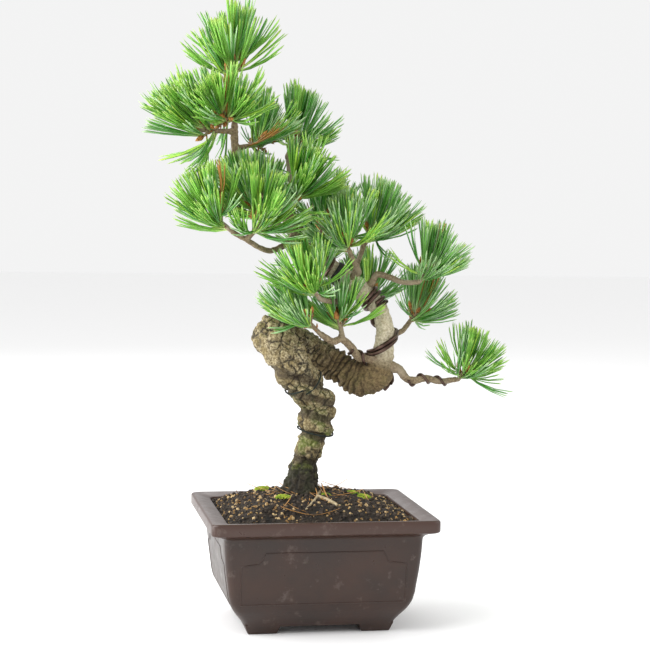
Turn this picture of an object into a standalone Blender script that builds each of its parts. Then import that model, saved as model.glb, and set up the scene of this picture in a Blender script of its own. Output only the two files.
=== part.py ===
"""Potted Japanese white pine: a bonsai with a folded trunk in a brown rectangular pot.

Run with: blender --background --python part.py
Lengths in the tables are millimetres from the middle of the pot's footprint: X to the
right, Y away from the front, Z up from the surface the pot stands on.
"""
import math
import random

import bmesh
import bpy
from mathutils import Matrix, Vector
from mathutils.bvhtree import BVHTree

MM = 0.001
GAP = 0.3                       # clearance between pieces that touch on the real plant
GOLDEN_TURN = math.radians(137.5)
GOLDEN_SHARE = 0.618
PROBE = Vector((0.31, 0.17, 0.93)).normalized()       # way of the rays that tell in from out

# The pot's middle, seen from the middle of the whole plant's box
POT_OFFSET = (-8.0, -6.0, 0.0)

# Pot
RIM_WIDTH = 150.0
RIM_DEPTH = 130.0
POT_HEIGHT = 78.0
LIP_WIDTH = 12.0                # flat top of the rim, outer to inner edge
LIP_DROP = 2.0                  # the lip slopes down to its inner edge
RIM_THICKNESS = 8.5
BODY_INSET = 9.5                # rim's edge to the body's wall below it
FOOT_HEIGHT = 5.5
FLOOR_TOP = 9.0
CORNER_RADIUS = 5.0
CORNER_STEPS = 3
FOOT_WIDTH = 24.0
FOOT_DEPTH = 20.0
FOOT_TAPER = 2.5                # a foot narrows by this much on each side

# Soil
SOIL_EDGE_TOP = 74.0
SOIL_TOP = 87.2                 # flat crown of the mound, where the trunk stands
SOIL_CROWN_RADIUS = 17.0
SOIL_FLOOR = FLOOR_TOP + GAP

# Trunk: place and radius of each station from the soil to the tip
TRUNK_STATIONS = [
    (-7, 4, 87.5, 15.0), (-7, 4, 92, 12.0), (-6, 4, 97.5, 10.2), (-5, 4, 104.5, 9.5),
    (-2, 2, 115.5, 9.7), (0, 0, 124, 9.6), (2, -1, 131.5, 13.0), (3, -3, 140.5, 11.3),
    (1, -6, 150.5, 11.2), (-7, -12, 160.5, 12.6), (-16.5, -16, 173.5, 13.2), (-25, -15, 185.5, 13.0),
    (-29, -8, 192.5, 12.6), (-25.5, 2, 195, 12.0), (-14.5, 10, 191, 11.3),
    (-3, 14, 184.5, 10.6), (11, 14, 176.5, 9.9), (24.5, 11, 168, 9.9), (36, 6, 163, 10.6),
    (43.5, 1, 166.5, 9.6), (47.2, -1, 176.5, 7.4), (48.2, -2, 187.5, 6.1), (48.3, 0, 200.5, 6.1),
    (43.5, 4, 214, 6.2), (34.3, 8, 224, 6.7), (22.8, 10, 231.5, 6.6), (11.3, 11, 239, 6.0),
    (0, 11, 249.5, 5.4), (-9.7, 8, 261.5, 5.1), (-19, 6, 274.5, 4.7), (-33, 4, 288, 4.3),
    (-45, 2, 298.5, 3.8), (-52, 0, 308.5, 3.3), (-55, -1, 319.5, 2.8), (-55.5, -1, 332.5, 2.4),
    (-55, -1, 346.5, 2.1),
]
# The trunk is folded at these stations; each fold is a burl a little fatter than the limb
TRUNK_FOLDS = (8, 12, 19)
BURL_SWELL = 1.07
TRUNK_STEP = 9.0

# Boughs: what carries each, the points it runs through, radius at foot and tip
BOUGHS = {
    "bough_low_left": dict(
        on="trunk", through=[(30, -4, 179.5), (24, -8, 186.5), (17, -11, 192), (10.5, -14, 190.5),
                             (2, -18, 195.5)], radii=(3.1, 2.0)),
    "bough_low_right": dict(
        on="trunk", through=[(59, -3, 170.5), (64, -4, 164.5), (69, -5, 163.5), (77, -6, 165),
                             (86, -6, 163), (98, -5, 164)], radii=(3.1, 1.8)),
    "bough_lower_right": dict(
        on="trunk", through=[(58, 6, 194.5), (63.5, 9, 196.5), (67.5, 11.5, 200.5)], radii=(2.1, 1.6)),
    "bough_upper_right": dict(
        on="trunk", through=[(43, 1, 235), (52, 0, 233), (60, -2, 230), (69, -4, 230)],
        radii=(2.4, 1.6)),
    "bough_front": dict(
        on="trunk", through=[(19, -3, 220), (13.5, -9, 217), (7.5, -16, 217.5), (1, -22, 219)],
        radii=(2.4, 1.6)),
    "bough_centre": dict(
        on="trunk", through=[(30, -1, 236.5), (26.5, -4, 242.5), (23.5, -7, 247.5)], radii=(2.3, 1.6)),
    "bough_centre_back": dict(
        on="trunk", through=[(31, 19, 234.5), (34, 20, 243.5), (36.5, 18, 252.5)], radii=(2.2, 1.6)),
    "bough_left_low": dict(
        on="trunk", through=[(-19, -3, 255.5), (-31, -11, 250.5), (-40, -17, 252.5),
                             (-48, -20, 257), (-56, -23, 261)],
        radii=(2.3, 1.5)),
    "bough_left_high": dict(
        on="trunk", through=[(-27, -3, 270.5), (-34, -8, 268.5)], radii=(2.0, 1.6)),
    "bough_high_right": dict(
        on="trunk", through=[(-14, 15, 284.5), (-14, 20, 296.5), (-15.5, 25, 312.5)],
        radii=(2.0, 1.4)),
    "bough_back_low": dict(
        on="trunk", through=[(22, 24, 231.5), (18, 33, 234.5), (14, 41, 240.5)], radii=(2.3, 1.6)),
    "bough_back_high": dict(
        on="trunk", through=[(-13, 19, 262.5), (-19, 28, 266.5), (-24, 36, 272.5)], radii=(2.1, 1.5)),
    "bough_back_right": dict(
        on="trunk", through=[(49, 13, 202.5), (47, 23, 206.5), (46, 33, 212.5)], radii=(2.1, 1.5)),
}
BOUGH_STEP = 5.0

# Masses of needles: what carries each, the tip of its shoot, its needles' number and length
MASSES = {
    "needles_top": dict(on="trunk", tip=(-57, -1, 375.5), count=27, length=40),
    "needles_top_front": dict(on="trunk", tip=(-66, -24, 337.5), count=17, length=38),
    "needles_top_left": dict(on="trunk", tip=(-80, -9, 328.5), count=19, length=39),
    "needles_top_right": dict(on="trunk", tip=(-33, 15, 322.5), count=19, length=38),
    "needles_top_back": dict(on="trunk", tip=(-62, 24, 337.5), count=17, length=38),
    "needles_high_right": dict(on="bough_high_right", tip=(-9, 28, 327.5), count=19, length=38),
    "needles_centre_high": dict(on="trunk", tip=(-13, -13, 289.5), count=21, length=40),
    "needles_left_tip": dict(on="bough_left_low", tip=(-72, -27, 273), count=21, length=40),
    "needles_left_mid": dict(on="bough_left_low", tip=(-40, -31, 270), count=19, length=40),
    "needles_left_high": dict(on="bough_left_high", tip=(-47, -8, 284.5), count=17, length=38),
    "needles_left_back": dict(on="trunk", tip=(-42, 26, 292.5), count=17, length=36),
    "needles_back_high": dict(on="bough_back_high", tip=(-29, 45, 281.5), count=19, length=38),
    "needles_mid_back": dict(on="trunk", tip=(14, 31, 269.5), count=17, length=36),
    "needles_centre_left": dict(on="bough_centre", tip=(17, -13, 259.5), count=19, length=38),
    "needles_centre_right": dict(on="bough_centre_back", tip=(44, 13, 264.5), count=21, length=40),
    "needles_front": dict(on="bough_front", tip=(-10, -32, 229.5), count=21, length=38),
    "needles_back_low": dict(on="bough_back_low", tip=(12, 49, 250.5), count=19, length=38),
    "needles_low_left": dict(on="bough_low_left", tip=(-11, -22, 207.5), count=19, length=36),
    "needles_low_middle": dict(on="bough_low_left", tip=(15, -7, 208.5), count=17, length=32),
    "needles_upper_right": dict(on="bough_upper_right", tip=(78, -7, 240.5), count=21, length=35),
    "needles_lower_right": dict(on="bough_lower_right", tip=(75, 15, 209.5), count=19, length=35),
    "needles_right_tip": dict(on="bough_low_right", tip=(104, -7, 171.5), count=17, length=33),
    "needles_back_right": dict(on="bough_back_right", tip=(45, 42, 221.5), count=17, length=36),
}
STEM_RADII = (1.7, 1.2)
STEM_STEP = 7.0
SIDE_TWIGS = 2
SHOOT_LENGTH = 17.0                                   # end of the stem that bears needles
SIDE_TWIG_LENGTH = 8.0
SIDE_TWIG_LEAN = math.radians(50)
SIDE_TWIG_RADIUS = 1.0
NEEDLE_LEAN = (math.radians(88), math.radians(10))    # lowest and topmost, off the shoot
NEEDLE_RADIUS = 1.2                                   # a bundle of five, at its fullest
NEEDLE_ROOT_RADIUS = 0.4
NEEDLE_FULLEST = 0.6                                  # part of its length from the root
NEEDLE_RISE = 0.22                                    # how much needles turn upward
NEEDLE_LIFT = 2.5                                     # how far its middle bows
NEEDLE_SHORTEST = 0.66
BLADE_TESTS = 20                                      # points along a blade that are tested
TRIES_A_NEEDLE = 8
SPACE_MARGIN = 1.7                                    # kept to the wall of a mass's space

# Training wires: the limb each is wound on, the part of it, turns, angle of its start
WIRES = {
    "wire_riser": dict(on="trunk", part=(0.523, 0.561), turns=1.2, angle=200, radius=1.35),
    "wire_ring": dict(on="trunk", part=(0.597, 0.623), turns=1.7, angle=200, radius=1.35),
    "wire_crown": dict(on="trunk", part=(0.694, 0.720), turns=2.0, angle=90, radius=0.9),
    "wire_high": dict(on="trunk", part=(0.779, 0.793), turns=1.4, angle=60, radius=0.9),
    "wire_low_left": dict(on="bough_low_left", part=(0.12, 0.45), turns=1.4, angle=20, radius=1.0),
    "wire_low_right": dict(on="bough_low_right", part=(0.35, 0.90), turns=2.5, angle=0, radius=0.9),
}
WIRE_POINTS_A_TURN = 10
WIRE_CLEARANCE = 0.55                                 # at a wire's points; less between them

# Rubber pads under the wires: the part of the trunk, where they open, how far they reach
PADS = {
    "pad_crown": dict(part=(0.674, 0.688), middle=200, reach=280),
    "pad_high": dict(part=(0.842, 0.858), middle=300, reach=240),
}
PAD_THICKNESS = 1.2

# Colours from the photograph, as sRGB hex
FINISHES = {
    "pot": dict(colour="5a4841", roughness=0.5, metallic=0.0),
    "soil": dict(colour="2e2a22", roughness=0.95, metallic=0.0),
    "bark": dict(colour="8a7d60", roughness=0.85, metallic=0.0),
    "needles": dict(colour="4f9033", roughness=0.5, metallic=0.0),
    "wire": dict(colour="6b5750", roughness=0.4, metallic=0.8),
    "rubber": dict(colour="22221f", roughness=0.7, metallic=0.0),
}


# Helpers

def clear_scene():
    for obj in list(bpy.data.objects):
        bpy.data.objects.remove(obj, do_unlink=True)


def linear(channel):
    """One sRGB channel, 0 to 1, as a linear value."""
    return channel / 12.92 if channel <= 0.04045 else ((channel + 0.055) / 1.055) ** 2.4


def material(name, finish):
    spec = FINISHES[finish]
    rgb = [linear(int(spec["colour"][i:i + 2], 16) / 255) for i in (0, 2, 4)]
    mat = bpy.data.materials.new(name)
    mat.use_nodes = True
    mat.diffuse_color = (*rgb, 1)
    shader = mat.node_tree.nodes["Principled BSDF"]
    shader.inputs["Base Color"].default_value = (*rgb, 1)
    shader.inputs["Roughness"].default_value = spec["roughness"]
    shader.inputs["Metallic"].default_value = spec["metallic"]
    return mat


def link(obj, collection, finish=None, parent=None):
    collection.objects.link(obj)
    if finish:
        obj.data.materials.clear()
        obj.data.materials.append(material(obj.name, finish))
    if parent:
        obj.parent = parent
    return obj


def mesh_object(name, bm):
    """A new object from a bmesh in millimetres."""
    bmesh.ops.recalc_face_normals(bm, faces=bm.faces)
    bmesh.ops.scale(bm, vec=(MM, MM, MM), verts=bm.verts)
    mesh = bpy.data.meshes.new(name)
    bm.to_mesh(mesh)
    bm.free()
    return bpy.data.objects.new(name, mesh)


def add_loft(bm, rings):
    """Skin a row of rings of equal length; a ring of one point closes to a tip."""
    rows = [[bm.verts.new(point) for point in ring] for ring in rings]
    for low, high in zip(rows, rows[1:]):
        for i in range(len(low)):
            j = (i + 1) % len(low)
            if len(high) == 1:
                bm.faces.new((low[i], low[j], high[0]))
            else:
                bm.faces.new((low[i], low[j], high[j], high[i]))
    for row in (rows[0], rows[-1]):
        if len(row) > 2:
            bm.faces.new(row)


def rounded_rectangle(half_x, half_y, z, radius=CORNER_RADIUS):
    ring = []
    for quarter in range(4):
        start = quarter * math.pi / 2
        side_x = 1 if quarter in (0, 3) else -1
        side_y = 1 if quarter in (0, 1) else -1
        for step in range(CORNER_STEPS + 1):
            angle = start + step / CORNER_STEPS * math.pi / 2
            ring.append(Vector((side_x * (half_x - radius) + radius * math.cos(angle),
                                side_y * (half_y - radius) + radius * math.sin(angle), z)))
    return ring


def union(obj, collection):
    """Join an object with every object of a collection, by one Boolean, and apply it."""
    bpy.context.scene.collection.objects.link(obj)
    cut = obj.modifiers.new("join", "BOOLEAN")
    cut.operation = "UNION"
    cut.solver = "EXACT"
    cut.operand_type = "COLLECTION"
    cut.collection = collection
    depsgraph = bpy.context.evaluated_depsgraph_get()
    joined = bpy.data.meshes.new_from_object(obj.evaluated_get(depsgraph))
    obj.modifiers.remove(cut)
    obj.data = joined
    bpy.context.scene.collection.objects.unlink(obj)
    for other in list(collection.objects):
        bpy.data.objects.remove(other, do_unlink=True)


def keep_body(obj):
    """Keep the largest closed body: loose scraps go, and sealed hollows are filled."""
    bm = bmesh.new()
    bm.from_mesh(obj.data)
    bmesh.ops.remove_doubles(bm, verts=bm.verts, dist=0.002 * MM)
    bmesh.ops.triangulate(bm, faces=bm.faces)
    bodies = []
    seen = set()
    for seed in bm.faces:
        if seed in seen:
            continue
        body = [seed]
        seen.add(seed)
        for face in body:
            for edge in face.edges:
                for other in edge.link_faces:
                    if other not in seen:
                        seen.add(other)
                        body.append(other)
        bodies.append(body)
    largest = max(bodies, key=len)
    for body in bodies:
        if body is not largest:
            bmesh.ops.delete(bm, geom=body, context="FACES")
    bm.to_mesh(obj.data)
    bm.free()


# Limbs

class Limb:
    """A centreline with a radius at each sample, both in millimetres."""

    def __init__(self, stations, step):
        points = [Vector(station[:3]) for station in stations]
        radii = [station[3] for station in stations]
        self.points = []
        self.radii = []
        for i in range(len(points) - 1):
            before = points[max(i - 1, 0)]
            after = points[min(i + 2, len(points) - 1)]
            count = max(1, round((points[i + 1] - points[i]).length / step))
            for k in range(count):
                t = k / count
                self.points.append(catmull(before, points[i], points[i + 1], after, t))
                self.radii.append(radii[i] + (radii[i + 1] - radii[i]) * t)
        self.points.append(points[-1])
        self.radii.append(radii[-1])
        self.reach = [0.0]
        for a, b in zip(self.points, self.points[1:]):
            self.reach.append(self.reach[-1] + (b - a).length)

    def tangent(self, i):
        before = self.points[max(i - 1, 0)]
        after = self.points[min(i + 1, len(self.points) - 1)]
        return (after - before).normalized()

    def nearest(self, target):
        return min(range(len(self.points)), key=lambda i: (self.points[i] - target).length)

    def at(self, part):
        """Place, tangent and radius at a part of the limb's length, 0 to 1."""
        distance = part * self.reach[-1]
        i = 0
        while i < len(self.reach) - 2 and self.reach[i + 1] < distance:
            i += 1
        t = (distance - self.reach[i]) / (self.reach[i + 1] - self.reach[i])
        place = self.points[i].lerp(self.points[i + 1], t)
        tangent = self.tangent(i).lerp(self.tangent(i + 1), t).normalized()
        return place, tangent, self.radii[i] + (self.radii[i + 1] - self.radii[i]) * t


def catmull(before, start, end, after, t):
    """A point on the smooth curve from start to end."""
    return 0.5 * (2 * start + (end - before) * t
                  + (2 * before - 5 * start + 4 * end - after) * t ** 2
                  + (3 * start - before - 3 * end + after) * t ** 3)


def tube(name, points, radii, resolution):
    """A curve through the points as a closed mesh, with its caps welded."""
    curve = bpy.data.curves.new(name, "CURVE")
    curve.dimensions = "3D"
    curve.bevel_depth = MM
    curve.bevel_resolution = resolution
    curve.use_fill_caps = True
    spline = curve.splines.new("POLY")
    spline.points.add(len(points) - 1)
    for spot, point, radius in zip(spline.points, points, radii):
        spot.co = (*(point * MM), 1)
        spot.radius = radius
    holder = bpy.data.objects.new(name + " curve", curve)
    bpy.context.scene.collection.objects.link(holder)
    depsgraph = bpy.context.evaluated_depsgraph_get()
    mesh = bpy.data.meshes.new_from_object(holder.evaluated_get(depsgraph))
    obj = bpy.data.objects.new(name, mesh)
    obj.matrix_world = holder.matrix_world
    bpy.data.objects.remove(holder, do_unlink=True)
    bm = bmesh.new()
    bm.from_mesh(mesh)
    bmesh.ops.remove_doubles(bm, verts=bm.verts, dist=0.01 * MM)
    bmesh.ops.recalc_face_normals(bm, faces=bm.faces)
    bm.to_mesh(mesh)
    bm.free()
    return obj


def surface(objects):
    """A search tree over the faces of some objects, in millimetres."""
    verts = []
    faces = []
    for obj in objects:
        first = len(verts)
        verts.extend(v.co / MM for v in obj.data.vertices)
        faces.extend([first + i for i in poly.vertices] for poly in obj.data.polygons)
    return BVHTree.FromPolygons(verts, faces)


def cross_axes(direction):
    """Two unit vectors square to a direction and to each other."""
    hint = Vector((0, 0, 1)) if abs(direction.z) < 0.9 else Vector((1, 0, 0))
    side = direction.cross(hint).normalized()
    return side, side.cross(direction).normalized()


def clear_of(tree, point, distance):
    """True where a point is outside the tree's solids by at least the distance."""
    if tree.find_nearest(point)[3] < distance:
        return False
    crossings = 0
    place = tree.ray_cast(point, PROBE)[0]
    while place is not None:
        crossings += 1
        place = tree.ray_cast(place + PROBE * 0.001, PROBE)[0]
    return crossings % 2 == 0


def seat(carrier, tree, toward, radius):
    """Where a limb starts on its carrier, a gap clear of it, and the way it sets out."""
    i = carrier.nearest(toward)
    centre = carrier.points[i]
    if i == len(carrier.points) - 1:
        way = carrier.tangent(i)
        return centre + way * GAP, way
    tangent = carrier.tangent(i)
    way = toward - centre
    way = (way - tangent * way.dot(tangent)).normalized()
    side, rise = cross_axes(way)
    out = carrier.radii[i] * 0.9
    while True:
        start = centre + way * out
        rim = [start + (side * math.cos(a) + rise * math.sin(a)) * radius
               for a in (k * math.pi / 4 for k in range(8))]
        if all(clear_of(tree, point, GAP) for point in [start] + rim):
            return start, way
        out += 0.05


def grow(spec, carriers, trees, radii, step):
    """The limb that leaves its carrier and runs through its own points."""
    through = [Vector(point) for point in spec["through"]]
    start, way = seat(carriers[spec["on"]], trees[spec["on"]], through[0], radii[0])
    route = [start, start + way * radii[0]] + through
    lengths = [0.0]
    for a, b in zip(route, route[1:]):
        lengths.append(lengths[-1] + (b - a).length)
    stations = [(*point, radii[0] + (radii[1] - radii[0]) * length / lengths[-1])
                for point, length in zip(route, lengths)]
    return Limb(stations, step)


# Pot and soil

def pot_wall(z):
    """Half width of the pot's outer wall at a height: an ogee that draws in to the feet."""
    top = RIM_WIDTH / 2 - BODY_INSET
    levels = [(FOOT_HEIGHT, 15.5), (9, 13.6), (13.5, 10.3), (17.5, 7.4), (22.5, 5.0), (28, 3.6),
              (46, 1.3), (63, 0.0)]
    for (low, inset_low), (high, inset_high) in zip(levels, levels[1:]):
        if z <= high:
            share = max(0.0, (z - low) / (high - low))
            return top - inset_low - (inset_high - inset_low) * share
    return top


def build_pot():
    inset = (RIM_WIDTH - RIM_DEPTH) / 2
    wall = 3.2
    rim_x = RIM_WIDTH / 2
    under = POT_HEIGHT - RIM_THICKNESS
    outer = [(pot_wall(z), z) for z in (FOOT_HEIGHT, 9, 13.5, 17.5, 22.5, 28, 46, 63)]
    rim = [(rim_x - BODY_INSET + 0.8, under - 3.6), (rim_x - 5.5, under - 1.2),
           (rim_x - 1.2, under), (rim_x, under + 1.2), (rim_x, POT_HEIGHT - 1.0),
           (rim_x - 1.0, POT_HEIGHT), (rim_x - LIP_WIDTH + 1.0, POT_HEIGHT - LIP_DROP + 0.2),
           (rim_x - LIP_WIDTH, POT_HEIGHT - LIP_DROP - 0.8)]
    inner = [(pot_wall(z) - wall, z) for z in (63, 46, 28, 17.5)]
    inner.append((pot_wall(FLOOR_TOP) - wall, FLOOR_TOP))
    bm = bmesh.new()
    rings = [rounded_rectangle(half, half - inset, z) for half, z in outer + rim + inner]
    add_loft(bm, rings)
    pot = mesh_object("pot", bm)

    feet = bpy.data.collections.new("pot feet")
    bpy.context.scene.collection.children.link(feet)
    for side_x in (-1, 1):
        for side_y in (-1, 1):
            bm = bmesh.new()
            bmesh.ops.create_cube(bm, size=1)
            half = pot_wall(FOOT_HEIGHT) - 0.2
            for vert in bm.verts:
                low = vert.co.z < 0
                draw = FOOT_TAPER if low else 0.0
                x = half - (FOOT_WIDTH if vert.co.x * side_x < 0 else 0.0)
                y = half - inset - (FOOT_DEPTH if vert.co.y * side_y < 0 else 0.0)
                x += draw if vert.co.x * side_x < 0 else -draw
                y += draw if vert.co.y * side_y < 0 else -draw
                vert.co = (x * side_x, y * side_y, 0.0 if low else FOOT_HEIGHT + 1.0)
            feet.objects.link(mesh_object("foot", bm))
    union(pot, feet)
    bpy.data.collections.remove(feet)
    keep_body(pot)
    return pot


def build_soil():
    inset = (RIM_WIDTH - RIM_DEPTH) / 2
    wall = 3.2 + GAP
    levels = (FLOOR_TOP, 17.5, 28, 46, 63)
    sides = [(pot_wall(z) - wall, z) for z in levels]
    sides[0] = (pot_wall(FLOOR_TOP) - wall, SOIL_FLOOR)
    rings = [rounded_rectangle(half, half - inset, z) for half, z in sides]
    edge = rounded_rectangle(pot_wall(63) - wall, pot_wall(63) - wall - inset, SOIL_EDGE_TOP)
    rings.append(edge)
    foot = Vector(TRUNK_STATIONS[0][:3])
    for share in (0.3, 0.6, 0.85, 1.0):
        height = SOIL_EDGE_TOP + (SOIL_TOP - SOIL_EDGE_TOP) * math.sin(share * math.pi / 2)
        ring = []
        for point in edge:
            out = Vector((point.x - foot.x, point.y - foot.y, 0))
            crown = foot + out.normalized() * SOIL_CROWN_RADIUS
            spot = point.lerp(crown, share)
            ring.append(Vector((spot.x, spot.y, height)))
        rings.append(ring)
    bm = bmesh.new()
    add_loft(bm, rings)
    return mesh_object("soil", bm)


# Trunk

def build_trunk(limb):
    """The trunk in runs from fold to fold, joined with the burls at the folds."""
    folds = [limb.nearest(Vector(TRUNK_STATIONS[i][:3])) for i in TRUNK_FOLDS]
    ends = [0] + folds + [len(limb.points) - 1]
    runs = bpy.data.collections.new("trunk runs")
    bpy.context.scene.collection.children.link(runs)
    pieces = []
    for k, (first, last) in enumerate(zip(ends, ends[1:])):
        points = limb.points[first:last + 1]
        radii = limb.radii[first:last + 1]
        if k == 0:
            points[0] = points[0].copy()
            points[1] = Vector((points[0].x, points[0].y, points[1].z))
        if k > 0:
            points = [points[0] - limb.tangent(first) * radii[0] * 0.4] + points
            radii = [radii[0] * 0.7] + radii
        if k < len(ends) - 2:
            points = points + [points[-1] + limb.tangent(last) * radii[-1] * 0.4]
            radii = radii + [radii[-1] * 0.7]
        resolution = 2 if k == len(ends) - 2 else 4
        pieces.append(tube("trunk", points, radii, resolution))
    for piece in pieces[1:]:
        runs.objects.link(piece)
    for fold in folds:
        bm = bmesh.new()
        bmesh.ops.create_uvsphere(bm, u_segments=12, v_segments=8,
                                  radius=limb.radii[fold] * BURL_SWELL)
        turn = limb.tangent(fold).to_track_quat("Z", "Y").to_matrix().to_4x4()
        bmesh.ops.transform(bm, matrix=Matrix.Translation(limb.points[fold]) @ turn,
                            verts=bm.verts)
        runs.objects.link(mesh_object("burl", bm))
    trunk = pieces[0]
    union(trunk, runs)
    bpy.data.collections.remove(runs)
    keep_body(trunk)
    return trunk


# Wires and pads

def frames(limb, parts):
    """Place, radius and two cross axes along a limb, with no twist between them."""
    rows = []
    side = None
    for part in parts:
        place, tangent, radius = limb.at(part)
        if side is None:
            side = cross_axes(tangent)[0]
        side = (side - tangent * side.dot(tangent)).normalized()
        rows.append((place, radius, side, tangent.cross(side)))
    return rows


def build_wire(name, spec, limb, tree):
    """A wire wound on its limb, pushed out to clear whatever the limb carries."""
    count = round(spec["turns"] * WIRE_POINTS_A_TURN)
    first, last = spec["part"]
    parts = [first + (last - first) * k / count for k in range(count + 1)]
    points = []
    for k, (place, radius, side, up) in enumerate(frames(limb, parts)):
        angle = math.radians(spec["angle"]) + k / WIRE_POINTS_A_TURN * 2 * math.pi
        way = side * math.cos(angle) + up * math.sin(angle)
        out = radius + spec["radius"]
        while not clear_of(tree, place + way * out, spec["radius"] + WIRE_CLEARANCE):
            out += 0.1
        points.append(place + way * out)
    return tube(name, points, [spec["radius"]] * len(points), 0)


def build_pad(name, spec, limb):
    """A strip of rubber bent part of the way round the trunk."""
    first, last = spec["part"]
    parts = [first + (last - first) * k / 3 for k in range(4)]
    steps = 12
    bm = bmesh.new()
    rows = frames(limb, parts)
    rings = []
    for k in range(steps + 1):
        angle = math.radians(spec["middle"] + spec["reach"] * (k / steps - 0.5))
        ring = []
        for side_out in (0, 1):
            for place, radius, side, up in (rows if side_out == 0 else rows[::-1]):
                way = side * math.cos(angle) + up * math.sin(angle)
                ring.append(place + way * (radius + GAP + 0.3 + side_out * PAD_THICKNESS))
        rings.append(ring)
    add_loft(bm, rings)
    return mesh_object(name, bm)


# Masses of needles

def blade(root, way, length, lift):
    """One bundle of needles: three-sided, fullest past its middle, bowed toward lift."""
    side, up = cross_axes(way)
    middle = root + way * length * NEEDLE_FULLEST + lift
    rings = []
    for centre, radius in ((root, NEEDLE_ROOT_RADIUS), (middle, NEEDLE_RADIUS)):
        rings.append([centre + (side * math.cos(a) + up * math.sin(a)) * radius
                      for a in (math.pi / 2 + k * 2 * math.pi / 3 for k in range(3))])
    rings.append([root + way * length])
    return rings


def stays_inside(point, heart, others):
    """True where a point lies on its own mass's side of the walls to all the others."""
    for other in others:
        apart = (heart - other).length
        wall = ((point - other).length_squared - (point - heart).length_squared) / (2 * apart)
        if wall < SPACE_MARGIN:
            return False
    return True


def fits(root, way, length, lift, heart, others, tree):
    """True where a whole blade keeps to its space and clear of every limb."""
    for k in range(1, BLADE_TESTS + 1):
        share = k / BLADE_TESTS
        point = root + way * length * share + lift * math.sin(share * math.pi)
        if share > 0.3 and not stays_inside(point, heart, others):
            return False
        swell = min(1.0, share / NEEDLE_FULLEST)
        radius = NEEDLE_ROOT_RADIUS + (NEEDLE_RADIUS - NEEDLE_ROOT_RADIUS) * swell
        if not clear_of(tree, point, radius + GAP):
            return False
    return True


def shoots(limb, tree, rng):
    """The stem and its side twigs, each with the part of it below its needles."""
    length = limb.reach[-1]
    rows = [(limb, max(0.25, 1 - SHOOT_LENGTH / length))]
    turn = rng.uniform(0, 2 * math.pi)
    for k in range(SIDE_TWIGS):
        place, way, _ = limb.at(max(0.4, 1 - (5 + 3 * k) / length))
        side, up = cross_axes(way)
        angle = turn + k * 2 * math.pi / SIDE_TWIGS
        out = side * math.cos(angle) + up * math.sin(angle)
        lean = way * math.cos(SIDE_TWIG_LEAN) + out * math.sin(SIDE_TWIG_LEAN)
        end = place + lean * SIDE_TWIG_LENGTH
        twig = Limb([(*place, SIDE_TWIG_RADIUS), (*end, SIDE_TWIG_RADIUS * 0.8)],
                    SIDE_TWIG_LENGTH)
        spots = [twig.at(part)[0] for part in (0.25, 0.5, 0.75, 1.0)]
        if all(clear_of(tree, spot, SIDE_TWIG_RADIUS + GAP) for spot in spots):
            rows.append((twig, 0.35))
    return rows


def build_mass(name, spec, limb, stem, heart, others, tree, seed):
    """The stem with its side twigs and blades, joined into one solid."""
    rng = random.Random(seed)
    parts = bpy.data.collections.new(name + " parts")
    bpy.context.scene.collection.children.link(parts)
    rows = shoots(limb, tree, rng)
    for twig, _ in rows[1:]:
        parts.objects.link(tube("twig", twig.points, twig.radii, 0))
    grown = 0
    tries = 0
    while grown < spec["count"] and tries < spec["count"] * TRIES_A_NEEDLE:
        twig, bare = rows[0] if tries % 2 == 0 else rows[tries // 2 % len(rows)]
        share = tries * GOLDEN_SHARE % 1.0
        root, way, _ = twig.at(bare + (0.97 - bare) * share)
        low, high = NEEDLE_LEAN
        lean = low + (high - low) * share + rng.uniform(-0.12, 0.12)
        side, up = cross_axes(way)
        turn = tries * GOLDEN_TURN + rng.uniform(-0.3, 0.3)
        out = side * math.cos(turn) + up * math.sin(turn)
        aim = way * math.cos(lean) + out * math.sin(lean) + Vector((0, 0, NEEDLE_RISE))
        aim.normalize()
        lift = (way - aim * way.dot(aim)) * -NEEDLE_LIFT
        reach = spec["length"] * rng.uniform(0.9, 1.05)
        tries += 1
        while reach > spec["length"] * NEEDLE_SHORTEST:
            if fits(root, aim, reach, lift, heart, others, tree):
                bm = bmesh.new()
                add_loft(bm, blade(root, aim, reach, lift))
                parts.objects.link(mesh_object("blade", bm))
                grown += 1
                break
            reach -= 2.0
    union(stem, parts)
    bpy.data.collections.remove(parts)
    keep_body(stem)
    print(name, grown, "bundles of", spec["count"])
    return stem


# The whole plant

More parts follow.
